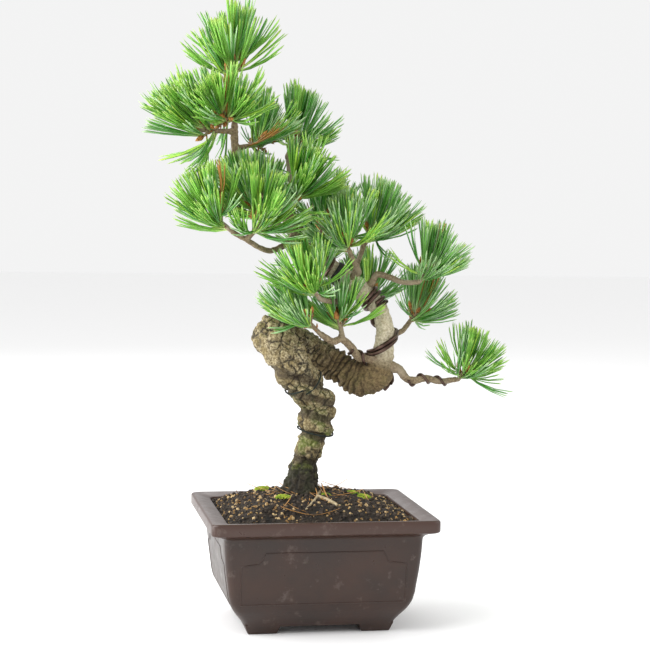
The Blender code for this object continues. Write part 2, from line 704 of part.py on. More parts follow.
def build():
    clear_scene()
    plant = bpy.data.collections.new("potted_white_pine")
    bpy.context.scene.collection.children.link(plant)
    stand = bpy.data.objects.new("stand", None)
    stand.location = Vector(POT_OFFSET) * MM
    plant.objects.link(stand)

    solids = {}
    pot = link(build_pot(), plant, "pot", stand)
    soil = link(build_soil(), plant, "soil", stand)
    limbs = {"trunk": Limb(TRUNK_STATIONS, TRUNK_STEP)}
    solids["trunk"] = link(build_trunk(limbs["trunk"]), plant, "bark", stand)
    trees = {"trunk": surface([solids["trunk"]])}
    for name, spec in BOUGHS.items():
        limbs[name] = grow(spec, limbs, trees, spec["radii"], BOUGH_STEP)
        solids[name] = link(tube(name, limbs[name].points, limbs[name].radii, 1),
                            plant, "bark", stand)
        trees[name] = surface([solids[name]])

    stems = {}
    stem_limbs = {}
    for name, spec in MASSES.items():
        stem_spec = dict(on=spec["on"], through=[spec["tip"]])
        stem_limbs[name] = grow(stem_spec, limbs, trees, STEM_RADII, STEM_STEP)
        stems[name] = tube(name, stem_limbs[name].points, stem_limbs[name].radii, 0)

    for name, spec in PADS.items():
        solids[name] = link(build_pad(name, spec, limbs["trunk"]), plant, "rubber", stand)
    for name, spec in WIRES.items():
        tree = surface(list(solids.values()) + list(stems.values()))
        solids[name] = link(build_wire(name, spec, limbs[spec["on"]], tree), plant, "wire", stand)

    hearts = {}
    for name, spec in MASSES.items():
        limb = stem_limbs[name]
        hearts[name] = limb.points[-1] + limb.tangent(len(limb.points) - 1) * 6
    for seed, (name, spec) in enumerate(MASSES.items()):
        others = [heart for other, heart in hearts.items() if other != name]
        rest = [pot, soil] + list(solids.values())
        rest += [stem for other, stem in stems.items() if other != name]
        mass = build_mass(name, spec, stem_limbs[name], stems[name], hearts[name], others,
                          surface(rest), seed)
        link(mass, plant, "needles", stand)


build()
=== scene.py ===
import math
import random

import bmesh
import bpy
from mathutils import Matrix, Vector, noise
from mathutils.bvhtree import BVHTree
from mathutils.kdtree import KDTree


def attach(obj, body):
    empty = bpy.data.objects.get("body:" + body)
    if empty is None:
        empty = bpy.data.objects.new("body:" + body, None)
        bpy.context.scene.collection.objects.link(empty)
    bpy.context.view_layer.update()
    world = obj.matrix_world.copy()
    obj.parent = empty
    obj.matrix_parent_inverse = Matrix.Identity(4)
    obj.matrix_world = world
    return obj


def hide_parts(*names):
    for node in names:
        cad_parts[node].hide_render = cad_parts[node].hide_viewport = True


# Wired Japanese white pine in a brown moulded pot, dressed over its CAD frame.
# Tables are in millimetres from the middle of the pot's footprint; meshes are in metres.
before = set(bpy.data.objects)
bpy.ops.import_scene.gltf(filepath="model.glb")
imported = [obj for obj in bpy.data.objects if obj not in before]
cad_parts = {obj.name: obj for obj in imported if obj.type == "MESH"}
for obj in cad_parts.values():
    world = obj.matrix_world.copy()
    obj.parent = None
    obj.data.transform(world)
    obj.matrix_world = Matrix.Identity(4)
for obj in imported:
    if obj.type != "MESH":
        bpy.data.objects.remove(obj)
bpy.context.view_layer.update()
mm = 0.001
gap = 0.3
potOffset = Vector((-8.0, -6.0, 0.0))      # the pot's middle from the middle of the plant's box
zAxis = Vector((0, 0, 1))
fullTurn = 2 * math.pi
goldenTurn = math.radians(137.5)
goldenShare = 0.618


# Small helpers

def hexColour(code):
    rgb = []
    for i in (0, 2, 4):
        channel = int(code[i:i + 2], 16) / 255
        rgb.append(channel / 12.92 if channel <= 0.04045 else ((channel + 0.055) / 1.055) ** 2.4)
    return (*rgb, 1.0)


def toWorld(point):
    return (Vector(point) + potOffset) * mm


def addNode(tree, kind, inputs=None, **settings):
    # inputs maps a socket's name or number to a value, or to the socket that feeds it
    node = tree.nodes.new(kind)
    for key, value in settings.items():
        setattr(node, key, value)
    for key, value in (inputs or {}).items():
        if isinstance(value, bpy.types.NodeSocket):
            tree.links.new(value, node.inputs[key])
        else:
            node.inputs[key].default_value = value
    return node


def newObject(name, mesh):
    obj = bpy.data.objects.new(name, mesh)
    bpy.context.scene.collection.objects.link(obj)
    return obj


def bmeshObject(name, bm, smoothAngle=None):
    # A bmesh in pot millimetres becomes an object in metres, with its normals outward
    bmesh.ops.remove_doubles(bm, verts=bm.verts, dist=0.001)
    bmesh.ops.recalc_face_normals(bm, faces=bm.faces)
    for vert in bm.verts:
        vert.co = toWorld(vert.co)
    if smoothAngle is not None:
        for face in bm.faces:
            face.smooth = True
        for edge in bm.edges:
            edge.smooth = edge.calc_face_angle(math.pi) < math.radians(smoothAngle)
    mesh = bpy.data.meshes.new(name)
    bm.to_mesh(mesh)
    bm.free()
    return newObject(name, mesh)

def smoothFaces(obj, smooth=True):
    obj.data.polygons.foreach_set("use_smooth", [smooth] * len(obj.data.polygons))


def finishPiece(obj, slotName, *nodeNames):
    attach(obj, "root")
    if nodeNames:
        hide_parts(*nodeNames)


def runModifiers(obj, name):
    # The evaluated object as a plain mesh on a new object; the source object goes
    bpy.context.view_layer.update()
    depsgraph = bpy.context.evaluated_depsgraph_get()
    mesh = bpy.data.meshes.new_from_object(obj.evaluated_get(depsgraph))
    mesh.name = name
    bpy.data.objects.remove(obj, do_unlink=True)
    made = newObject(name, mesh)
    smoothFaces(made)
    return made


def useTree(obj, tree, values):
    # A Geometry Nodes modifier with its named inputs set
    modifier = obj.modifiers.new(tree.name, "NODES")
    modifier.node_group = tree
    for item in tree.interface.items_tree:
        if item.item_type == "SOCKET" and item.in_out == "INPUT" and item.name in values:
            modifier[item.identifier] = values[item.name]


def newTree(name, inputs):
    tree = bpy.data.node_groups.new(name, "GeometryNodeTree")
    tree.interface.new_socket("Geometry", in_out="INPUT", socket_type="NodeSocketGeometry")
    for label, kind, value in inputs:
        socket = tree.interface.new_socket(label, in_out="INPUT", socket_type="NodeSocket" + kind)
        if value is not None:
            socket.default_value = value
    tree.interface.new_socket("Geometry", in_out="OUTPUT", socket_type="NodeSocketGeometry")
    return tree, tree.nodes.new("NodeGroupInput").outputs, tree.nodes.new("NodeGroupOutput").inputs

def storeValues(mesh, kind, columns):
    # One attribute of the points for each label
    field = "vector" if kind == "FLOAT_VECTOR" else "value"
    for label, column in columns.items():
        mesh.attributes.new(label, kind, "POINT").data.foreach_set(field, column)


# Nodes that materials and Geometry Nodes trees share; sizes are in millimetres

def maths(tree, operation, first, second):
    return addNode(tree, "ShaderNodeMath", {0: first, 1: second}, operation=operation).outputs[0]


def multiply(tree, first, second):
    return maths(tree, "MULTIPLY", first, second)


def scaled(tree, vector, factor):
    return addNode(tree, "ShaderNodeVectorMath", {0: vector, "Scale": factor}, operation="SCALE").outputs[0]


def noiseAt(tree, place, sizeMm, detail=3.0, roughness=0.55, output="Fac"):
    node = addNode(tree, "ShaderNodeTexNoise", {"Vector": place, "Scale": 1 / (sizeMm * mm),
                                                "Detail": detail, "Roughness": roughness})
    return node.outputs[output]


def ramp(tree, value, low, high, toLow=0.0, toHigh=1.0):
    return addNode(tree, "ShaderNodeMapRange", {"Value": value, "From Min": low, "From Max": high,
                                               "To Min": toLow, "To Max": toHigh}).outputs["Result"]


# The bark's cracks, the same ones in its colour and in its relief
crackShape = {"plate": 7.5, "warpSize": 8, "warp": 0.009, "patchSize": 16, "patches": (0.36, 0.50)}


def crackDistance(tree, place, scale):
    shift = scaled(tree, noiseAt(tree, place, crackShape["warpSize"], output="Color"), crackShape["warp"])
    warped = addNode(tree, "ShaderNodeVectorMath", {0: place, 1: shift}, operation="ADD").outputs[0]
    return addNode(tree, "ShaderNodeTexVoronoi", {"Vector": warped, "Scale": scale},
                   feature="DISTANCE_TO_EDGE").outputs["Distance"]


def crackPatches(tree, place):
    return ramp(tree, noiseAt(tree, place, crackShape["patchSize"], 2.0), *crackShape["patches"])


# Materials

def newMaterial(name, roughness, metallic=0.0):
    mat = bpy.data.materials.new(name)
    mat.use_nodes = True
    shader = mat.node_tree.nodes["Principled BSDF"]
    shader.inputs["Roughness"].default_value = roughness
    shader.inputs["Metallic"].default_value = metallic
    return mat, mat.node_tree, shader


def patternMaterial(name, roughness, metallic=0.0):
    mat, tree, shader = newMaterial(name, roughness, metallic)
    return mat, tree, shader, addNode(tree, "ShaderNodeTexCoord").outputs["Object"]


def mixColour(tree, share, first, second):
    # first and second are hex codes or the sockets of earlier tones
    tones = [hexColour(tone) if isinstance(tone, str) else tone for tone in (first, second)]
    return addNode(tree, "ShaderNodeMix", {0: share, 6: tones[0], 7: tones[1]}, data_type="RGBA").outputs[2]


def storedShade(tree, name):
    return addNode(tree, "ShaderNodeAttribute", attribute_name=name).outputs["Fac"]


def bump(tree, shader, height, distanceMm):
    node = addNode(tree, "ShaderNodeBump", {"Strength": 1.0, "Distance": distanceMm * mm, "Height": height})
    tree.links.new(node.outputs["Normal"], shader.inputs["Normal"])


def potPlastic():
    # Injection-moulded polypropylene, brown: satin, a little blotched, with pale lime stains, and a painted
    # highlight that lightens the rim
    mat, tree, shader, place = patternMaterial("moulded_polypropylene_brown", 0.42)
    height = addNode(tree, "ShaderNodeSeparateXYZ", {"Vector": place}).outputs["Z"]
    stain = noiseAt(tree, place, 11, 5.0, 0.7)
    tone = mixColour(tree, ramp(tree, noiseAt(tree, place, 26), 0.35, 0.68), "28170e", "341d11")
    # Painted highlight: the pot turns lighter from 66.5 mm up, fully by 70 mm, so the whole rim and lip look
    # lit
    tone = mixColour(tree, ramp(tree, height, 0.0665, 0.0700), tone, "3e281f")
    tone = mixColour(tree, ramp(tree, stain, 0.58, 0.76, 0.0, 0.35), tone, "857770")
    tree.links.new(tone, shader.inputs["Base Color"])
    tree.links.new(ramp(tree, stain, 0.3, 0.75, 0.27, 0.46), shader.inputs["Roughness"])
    bump(tree, shader, noiseAt(tree, place, 1.6), 0.08)
    return mat


def dampPeat():
    # Damp peat and fine grit between the grains: near black, soft brown where it dries
    mat, tree, shader, place = patternMaterial("damp_peat", 0.95)
    tone = mixColour(tree, ramp(tree, noiseAt(tree, place, 5, 4.0), 0.38, 0.66), "120f0b", "33291d")
    tree.links.new(tone, shader.inputs["Base Color"])
    bump(tree, shader, noiseAt(tree, place, 0.9), 0.6)
    return mat


def twoTone(name, roughness, sizeMm, dark, light, metallic=0.0, edges=(0.36, 0.64)):
    # A surface that drifts between two tones over sizeMm
    mat, tree, shader, place = patternMaterial(name, roughness, metallic)
    tone = mixColour(tree, ramp(tree, noiseAt(tree, place, sizeMm), *edges), dark, light)
    tree.links.new(tone, shader.inputs["Base Color"])
    return mat


def pineBark():
    # Young white pine bark: cracked plates on the old wood, smooth grey with brown
    # lenticels above it, green with algae near the soil
    mat, tree, shader, place = patternMaterial("white_pine_bark", 0.88)
    along = storedShade(tree, "along")
    height = addNode(tree, "ShaderNodeSeparateXYZ", {"Vector": place}).outputs["Z"]
    cloud = noiseAt(tree, place, 9, 4.0)
    fine = noiseAt(tree, place, 1.6, 5.0, 0.7)
    blotch = noiseAt(tree, place, 4.5, 4.0, 0.65)

    # Plates at the foot, then wrinkled, smooth and shoot bark, each from its share of the trunk on
    tone = mixColour(tree, ramp(tree, cloud, 0.36, 0.62), "9a8a5c", "e0d2ac")
    tone = mixColour(tree, ramp(tree, fine, 0.42, 0.70), "625436", tone)
    for start, full, low, high, dark, light in ((0.36, 0.42, 0.35, 0.65, "4f402c", "8a7650"),
                                                (0.505, 0.54, 0.34, 0.62, "a09272", "dcd3ba"),
                                                (0.66, 0.76, 0.36, 0.62, "6a5844", "9a8868")):
        bark = mixColour(tree, ramp(tree, fine, low, high), dark, light)
        tone = mixColour(tree, ramp(tree, along, start, full), tone, bark)

    # Dark cracks, algae, shaded wrinkles, stains, and the trunk darker towards the soil
    crack = ramp(tree, crackDistance(tree, place, 1 / (crackShape["plate"] * mm)), 0.015, 0.12, 1.0, 0.0)
    crack = multiply(tree, crack, crackPatches(tree, place))
    crack = multiply(tree, crack, ramp(tree, along, 0.38, 0.48, 0.95, 0.1))
    algae = multiply(tree, ramp(tree, height, 0.175, 0.115), ramp(tree, cloud, 0.46, 0.60))
    wrinkle = ramp(tree, storedShade(tree, "rings"), -0.15, -0.8, 0.0, 0.7)
    stain = multiply(tree, ramp(tree, blotch, 0.56, 0.68), ramp(tree, along, 0.45, 0.55, 0.6, 0.3))
    # Darker towards the soil: below about 127 to 139 mm, with a blotchy edge, the bark turns near black
    footDarkening = ramp(tree, maths(tree, "ADD", height, multiply(tree, blotch, 0.05)), 0.139, 0.127)
    for share, colour in ((crack, "1d1812"), (multiply(tree, algae, 0.75), "5c6a1e"), (wrinkle, "2c2116"),
                          (stain, "3a2f20"), (multiply(tree, footDarkening, 0.9), "17130d")):
        tone = mixColour(tree, share, tone, colour)
    tree.links.new(tone, shader.inputs["Base Color"])
    bump(tree, shader, fine, 0.7)
    return mat


def shootBark():
    # Two- and three-year shoots: thin ridged bark, grey-brown
    mat, tree, shader, place = patternMaterial("shoot_bark", 0.82)
    fine = noiseAt(tree, place, 1.3, 4.0, 0.7)
    tone = mixColour(tree, ramp(tree, fine, 0.34, 0.66), "5c4a36", "9b8a6c")
    tone = mixColour(tree, ramp(tree, noiseAt(tree, place, 14), 0.45, 0.65, 0.0, 0.6), tone, "a89c86")
    tree.links.new(tone, shader.inputs["Base Color"])
    bump(tree, shader, fine, 0.3)
    return mat


def needleWax(name, roughness, root, body, tip):
    # Pine needle: waxed cuticle, satin outside and duller on its blue-white inner faces
    mat, tree, shader, place = patternMaterial(name, roughness)
    reach = storedShade(tree, "tipward")
    tone = mixColour(tree, ramp(tree, reach, 0.0, 0.3), root, body)
    tone = mixColour(tree, ramp(tree, reach, 0.86, 1.0, 0.0, 0.75), tone, tip)
    shade = addNode(tree, "ShaderNodeHueSaturation",
                    {"Color": tone, "Value": ramp(tree, noiseAt(tree, place, 7), 0.3, 0.7, 0.78, 1.22)})
    tree.links.new(shade.outputs["Color"], shader.inputs["Base Color"])
    return mat


materials = {
    "pot": potPlastic(),
    "soil": dampPeat(),
    "bark": pineBark(),
    "shoot": shootBark(),
    # Bud scales and dead sheaths: dry, papery, orange-brown
    "bud": twoTone("papery_bud_scale", 0.7, 2, "7c4a20", "bd8440"),
    # Brown-anodised aluminium training wire: satin metal
    "wire": twoTone("brown_anodised_aluminium", 0.38, 8, "4a3a33", "6d5950", metallic=1.0),
    # Cut strip of inner-tube rubber: matt black with a little dust
    "rubber": twoTone("butyl_rubber", 0.68, 3, "171715", "3a3833", edges=(0.42, 0.72)),
    # Tarred twine in the trunk's creases: nearly black
    "strap": twoTone("tarred_strap", 0.92, 3, "0e1512", "20291f"),
    # Loose mineral grain: matt, each a little lighter or darker than the next
    "pumice": twoTone("pumice_grain", 0.92, 3, "8d6f45", "cbb184"),
    "lava": twoTone("lava_grain", 0.92, 3, "191613", "463b31"),
    "clay": twoTone("baked_clay_grain", 0.92, 3, "6e5230", "a5824c"),
    # Live cushion moss, and the pale dry skin of a bared root
    "moss": twoTone("cushion_moss", 0.92, 3, "5d7f1c", "b4c040"),
    "root": twoTone("surface_root", 0.92, 3, "8a795c", "b7a787"),
}
# Needles: roughness, and the colours of the root, the blade and the tip
needleTints = {
    "fresh": (0.38, "c3d57c", "72ad3c", "b0cc58"), "blue": (0.38, "b8cc8c", "6aa848", "9dbb6c"),
    "deep": (0.38, "9ab85c", "4a9030", "76a044"), "young": (0.38, "d8df8c", "a0cf4a", "ccd468"),
    "dry": (0.38, "9a6a34", "c08a48", "9f6a34"),
    "inner_fresh": (0.5, "ccdb90", "8cc752", "b5cd6c"), "inner_pale": (0.5, "ccdbaa", "a6cc94", "b5cd90"),
}
for tint, looks in needleTints.items():
    materials[tint] = needleWax("needle_" + tint, *looks)
print("materials made:", len(materials))


# Geometry Nodes trees

def stored(tree, name, kind="FLOAT"):
    return addNode(tree, "GeometryNodeInputNamedAttribute", {"Name": name}, data_type=kind).outputs[0]


def lumps(tree, place, size, height, detail):
    scale = maths(tree, "DIVIDE", 1.0, size)
    cloud = addNode(tree, "ShaderNodeTexNoise", {"Vector": place, "Scale": scale, "Detail": detail})
    return multiply(tree, maths(tree, "SUBTRACT", cloud.outputs["Fac"], 0.5), height)


def pushOut(tree, geometry, height):
    normal = addNode(tree, "GeometryNodeInputNormal").outputs["Normal"]
    return addNode(tree, "GeometryNodeSetPosition",
                   {"Geometry": geometry, "Offset": scaled(tree, normal, height)}).outputs["Geometry"]


def endTree(tree, out, geometry, *paints):
    # Each tree ends in real geometry with its materials; a paint is a material and its selection
    geometry = addNode(tree, "GeometryNodeRealizeInstances", {"Geometry": geometry}).outputs["Geometry"]
    for material, selection in paints:
        geometry = addNode(tree, "GeometryNodeSetMaterial", {"Geometry": geometry, "Selection": selection,
                                                             "Material": material}).outputs["Geometry"]
    tree.links.new(geometry, out["Geometry"])


def makeTubeTree():
    # A tube of varying thickness along each line, roughened by lumps
    tree, given, out = newTree("path_tube", [
        ("Sides", "Int", 12), ("Lump", "Float", 0.0), ("Lump Size", "Float", 0.002),
        ("Material", "Material", None)])
    curve = addNode(tree, "GeometryNodeMeshToCurve", {"Mesh": given["Geometry"]})
    ring = addNode(tree, "GeometryNodeCurvePrimitiveCircle", {"Resolution": given["Sides"], "Radius": 1.0})
    tube = addNode(tree, "GeometryNodeCurveToMesh",
                   {"Curve": curve.outputs["Curve"], "Profile Curve": ring.outputs["Curve"],
                    "Scale": stored(tree, "thick"), "Fill Caps": True})
    place = addNode(tree, "GeometryNodeInputPosition").outputs["Position"]
    height = lumps(tree, place, given["Lump Size"], given["Lump"], 2.0)
    endTree(tree, out, pushOut(tree, tube.outputs["Mesh"], height), (given["Material"], True))
    return tree


def makeSprayTree():
    # A template on each point: its Z along "aim", its X toward "bow", scaled by "reach"
    tree, given, out = newTree("spray", [
        ("Template", "Object", None), ("Material", "Material", None), ("Inner Material", "Material", None)])
    turn = addNode(tree, "FunctionNodeAlignRotationToVector",
                   {"Vector": stored(tree, "aim", "FLOAT_VECTOR")}, axis="Z")
    turn = addNode(tree, "FunctionNodeAlignRotationToVector",
                   {"Rotation": turn.outputs[0], "Vector": stored(tree, "bow", "FLOAT_VECTOR")},
                   axis="X", pivot_axis="Z")
    template = addNode(tree, "GeometryNodeObjectInfo", {"Object": given["Template"], "As Instance": True})
    placed = addNode(tree, "GeometryNodeInstanceOnPoints",
                     {"Points": given["Geometry"], "Instance": template.outputs["Geometry"],
                      "Rotation": turn.outputs[0], "Scale": stored(tree, "reach")})
    endTree(tree, out, placed.outputs["Instances"], (given["Material"], True),
            (given["Inner Material"], stored(tree, "inner", "BOOLEAN")))
    return tree


def makeGrainTree():
    # Loose grains scattered over a surface: twenty-sided, squashed and turned at random
    tree, given, out = newTree("loose_grains", [
        ("Density", "Float", 100000.0), ("Smallest", "Float", 0.0005), ("Largest", "Float", 0.0015),
        ("Seed", "Int", 1), ("Material", "Material", None)])
    points = addNode(tree, "GeometryNodeDistributePointsOnFaces",
                     {"Mesh": given["Geometry"], "Density": given["Density"], "Seed": given["Seed"]})
    ball = addNode(tree, "GeometryNodeMeshIcoSphere", {"Radius": 1.0, "Subdivisions": 1})
    turn = addNode(tree, "FunctionNodeRandomValue",
                   {0: (0, 0, 0), 1: (6.28, 6.28, 6.28), "Seed": given["Seed"]}, data_type="FLOAT_VECTOR")
    squash = addNode(tree, "FunctionNodeRandomValue",
                     {0: (0.6, 0.6, 0.5), 1: (1.2, 1.0, 0.9), "Seed": 5}, data_type="FLOAT_VECTOR")
    size = addNode(tree, "FunctionNodeRandomValue",
                   {2: given["Smallest"], 3: given["Largest"], "Seed": 9}, data_type="FLOAT")
    euler = addNode(tree, "FunctionNodeEulerToRotation", {0: turn.outputs[0]})
    placed = addNode(tree, "GeometryNodeInstanceOnPoints",
                     {"Points": points.outputs["Points"], "Instance": ball.outputs["Mesh"],
                      "Rotation": euler.outputs[0],
                      "Scale": scaled(tree, squash.outputs[0], size.outputs[1])})
    endTree(tree, out, placed.outputs["Instances"], (given["Material"], True))
    return tree


def makeBarkTree():
    # Relief on a smooth trunk: lumps, cracked plates where "rough" is high, and its "rings"
    tree, given, out = newTree("bark_relief", [
        ("Plate Size", "Float", 0.0055), ("Plate Depth", "Float", 0.0008), ("Lump Size", "Float", 0.011),
        ("Lump Height", "Float", 0.0012), ("Ring Depth", "Float", 0.0005), ("Material", "Material", None)])
    place = addNode(tree, "GeometryNodeInputPosition").outputs["Position"]
    crack = crackDistance(tree, place, maths(tree, "DIVIDE", 1.0, given["Plate Size"]))
    plate = ramp(tree, crack, 0.0, 0.22, -1.0, 0.35)
    for factor in (crackPatches(tree, place), stored(tree, "rough"), given["Plate Depth"]):
        plate = multiply(tree, plate, factor)
    lump = multiply(tree, lumps(tree, place, given["Lump Size"], given["Lump Height"], 3.0),
                    stored(tree, "girth"))
    ring = multiply(tree, stored(tree, "rings"), given["Ring Depth"])
    relief = maths(tree, "ADD", maths(tree, "ADD", plate, lump), ring)
    endTree(tree, out, pushOut(tree, given["Geometry"], relief), (given["Material"], True))
    return tree


tubeTree = makeTubeTree()
sprayTree = makeSprayTree()
grainTree = makeGrainTree()
barkTree = makeBarkTree()


def pathTubes(name, paths, values):
    # Lines with a thickness at each point, all skinned by the tube tree into one mesh
    verts = []
    edges = []
    thick = []
    for points, radii in paths:
        first = len(verts)
        verts.extend(toWorld(point) for point in points)
        edges.extend((first + i, first + i + 1) for i in range(len(points) - 1))
        thick.extend(radius * mm for radius in radii)
    mesh = bpy.data.meshes.new(name + "_paths")
    mesh.from_pydata(verts, edges, [])
    storeValues(mesh, "FLOAT", {"thick": thick})
    holder = newObject(name + "_paths", mesh)
    useTree(holder, tubeTree, values)
    return runModifiers(holder, name)

def pointSpray(name, rows, template, material, innerMaterial=None):
    # rows: place, aim, bow and reach of each instance of a template
    mesh = bpy.data.meshes.new(name + "_points")
    mesh.from_pydata([toWorld(row[0]) for row in rows], [], [])
    storeValues(mesh, "FLOAT_VECTOR", {label: [number for row in rows for number in row[column]]
                                       for label, column in (("aim", 1), ("bow", 2))})
    storeValues(mesh, "FLOAT", {"reach": [row[3] for row in rows]})
    holder = newObject(name + "_points", mesh)
    useTree(holder, sprayTree, {"Template": template, "Material": material,
                                "Inner Material": innerMaterial or material})
    return runModifiers(holder, name)


# Limbs: the same centrelines as the CAD, walked in finer steps

def catmull(before, start, end, after, t):
    return 0.5 * (2 * start + (end - before) * t
                  + (2 * before - 5 * start + 4 * end - after) * t ** 2
                  + (3 * start - before - 3 * end + after) * t ** 3)

def pathLengths(points):
    lengths = [0.0]
    for a, b in zip(points, points[1:]):
        lengths.append(lengths[-1] + (b - a).length)
    return lengths

class Limb:
    def __init__(self, stations, step):
        points = [Vector(station[:3]) for station in stations]
        radii = [station[3] for station in stations]
        self.points = []
        self.radii = []
        for i in range(len(points) - 1):
            before = points[max(i - 1, 0)]
            after = points[min(i + 2, len(points) - 1)]
            count = max(1, round((points[i + 1] - points[i]).length / step))
            for k in range(count):
                t = k / count
                self.points.append(catmull(before, points[i], points[i + 1], after, t))
                self.radii.append(radii[i] + (radii[i + 1] - radii[i]) * t)
        self.points.append(points[-1])
        self.radii.append(radii[-1])
        self.reach = pathLengths(self.points)

    def tangent(self, i):
        before = self.points[max(i - 1, 0)]
        after = self.points[min(i + 1, len(self.points) - 1)]
        return (after - before).normalized()

    def nearest(self, target):
        return min(range(len(self.points)), key=lambda i: (self.points[i] - target).length)

    def at(self, part):
        distance = part * self.reach[-1]
        i = 0
        while i < len(self.reach) - 2 and self.reach[i + 1] < distance:
            i += 1
        t = (distance - self.reach[i]) / (self.reach[i + 1] - self.reach[i])
        place = self.points[i].lerp(self.points[i + 1], t)
        tangent = self.tangent(i).lerp(self.tangent(i + 1), t).normalized()
        return place, tangent, self.radii[i] + (self.radii[i + 1] - self.radii[i]) * t


def crossAxes(direction):
    hint = Vector((0, 0, 1)) if abs(direction.z) < 0.9 else Vector((1, 0, 0))
    side = direction.cross(hint).normalized()
    return side, side.cross(direction).normalized()

def around(side, up, angle):
    return side * math.cos(angle) + up * math.sin(angle)

def surfaceTree(objects):
    # A search tree over some objects' faces, in pot millimetres
    verts = []
    faces = []
    for obj in objects:
        first = len(verts)
        verts.extend(v.co / mm - potOffset for v in obj.data.vertices)
        faces.extend([first + i for i in poly.vertices] for poly in obj.data.polygons)
    return BVHTree.FromPolygons(verts, faces)

# A ray that starts inside a closed solid crosses its skin an odd number of times
probe = {"way": Vector((0.31, 0.17, 0.93)).normalized(), "step": 0.001, "most": 60}


def clearOf(tree, point, distance):
    if tree.find_nearest(point)[3] < distance:
        return False
    crossings = 0
    place = tree.ray_cast(point, probe["way"])[0]
    while place is not None and crossings < probe["most"]:
        crossings += 1
        place = tree.ray_cast(place + probe["way"] * probe["step"], probe["way"])[0]
    return crossings % 2 == 0


def seatOn(carrier, toward):
    # Where a limb leaves its carrier, and the way it sets out: square to the carrier
    i = carrier.nearest(toward)
    centre = carrier.points[i]
    if i == len(carrier.points) - 1:
        return centre, carrier.tangent(i), 0.0
    tangent = carrier.tangent(i)
    way = toward - centre
    way = (way - tangent * way.dot(tangent)).normalized()
    return centre, way, carrier.radii[i]

# A limb starts at this part of its carrier's radius and flares where it leaves it
seat = {"depth": 0.55, "flare": (1.5, 1.3, 1.12)}


def growLimb(carrier, through, radii, step):
    # The limb starts inside its carrier, so that the two read as one piece of wood
    through = [Vector(point) for point in through]
    centre, way, out = seatOn(carrier, through[0])
    route = [centre + way * out * seat["depth"], centre + way * (out + gap), centre + way * (out + radii[0])]
    route += through
    lengths = pathLengths(route)
    stations = []
    for i, (point, length) in enumerate(zip(route, lengths)):
        radius = radii[0] + (radii[1] - radii[0]) * length / lengths[-1]
        flare = seat["flare"][i] if i < len(seat["flare"]) and out > 0 else 1.0
        stations.append((*point, radius * flare))
    return Limb(stations, step)


# Pot: rounded rectangle sections from the feet's top to the lip, and down inside

potShape = {
    "rimWidth": 150.0, "rimDepth": 130.0, "height": 78.0, "rimThickness": 8.5, "bodyInset": 9.5,
    "wall": 3.2, "wallRows": 40, "perSide": 6, "cornerRadius": 5.0, "cornerSteps": 8,
    "footHeight": 5.5, "footWidth": 24.0, "footDepth": 20.0, "footTaper": 2.5, "footSetback": 0.2,
    "footOverlap": 1.0, "footRounding": 0.8,
    # Height, and how far the wall there stands in from its widest
    "levels": [(5.5, 15.5), (9, 13.6), (13.5, 10.3), (17.5, 7.4), (22.5, 5.0), (28, 3.6), (46, 1.3),
               (63, 0.0)],
    # In from the rim's edge, and up from its underside or from its top
    "rimUnder": [(9.3, -4.6), (8.6, -3.4), (7.2, -2.2), (5.2, -1.2), (2.6, -0.4), (1.2, 0), (0.4, 0.5),
                 (0, 1.4)],
    "rimOver": [(0, -1.6), (0.25, -0.75), (0.8, -0.2), (1.6, 0), (6.0, -0.6), (10.4, -1.65),
                (11.5, -2.05), (12.0, -2.8)],
    "insideLevels": (63, 55, 46, 36, 28, 22, 17.5, 13, 9),
}
depthInset = (potShape["rimWidth"] - potShape["rimDepth"]) / 2


def potWall(z):
    top = potShape["rimWidth"] / 2 - potShape["bodyInset"]
    levels = potShape["levels"]
    if z >= levels[-1][0]:
        return top
    i = max(k for k in range(len(levels) - 1) if z >= levels[k][0] or k == 0)
    low, high = levels[i], levels[i + 1]
    t = max(0.0, (z - low[0]) / (high[0] - low[0]))
    before = levels[max(i - 1, 0)][1]
    after = levels[min(i + 2, len(levels) - 1)][1]
    inset = catmull(before, low[1], high[1], after, t)
    return top - min(max(inset, high[1]), low[1])


def roundedRectangle(halfX, halfY, z, perSide):
    radius = potShape["cornerRadius"]
    steps = potShape["cornerSteps"]
    corners = []
    for quarter in range(4):
        sideX = 1 if quarter in (0, 3) else -1
        sideY = 1 if quarter in (0, 1) else -1
        angles = [quarter * math.pi / 2 + k / steps * math.pi / 2 for k in range(steps + 1)]
        corners.append([Vector((sideX * (halfX - radius) + radius * math.cos(angle),
                                sideY * (halfY - radius) + radius * math.sin(angle), z)) for angle in angles])
    ring = []
    for quarter in range(4):
        ring.extend(corners[quarter])
        a = corners[quarter][-1]
        b = corners[(quarter + 1) % 4][0]
        ring.extend(a.lerp(b, k / perSide) for k in range(1, perSide))
    return ring


def addLoft(bm, rings):
    rows = [[bm.verts.new(point) for point in ring] for ring in rings]
    for low, high in zip(rows, rows[1:]):
        for i in range(len(low)):
            j = (i + 1) % len(low)
            bm.faces.new((low[i], low[j], high[j], high[i]))
    bm.faces.new(rows[0])
    bm.faces.new(rows[-1])


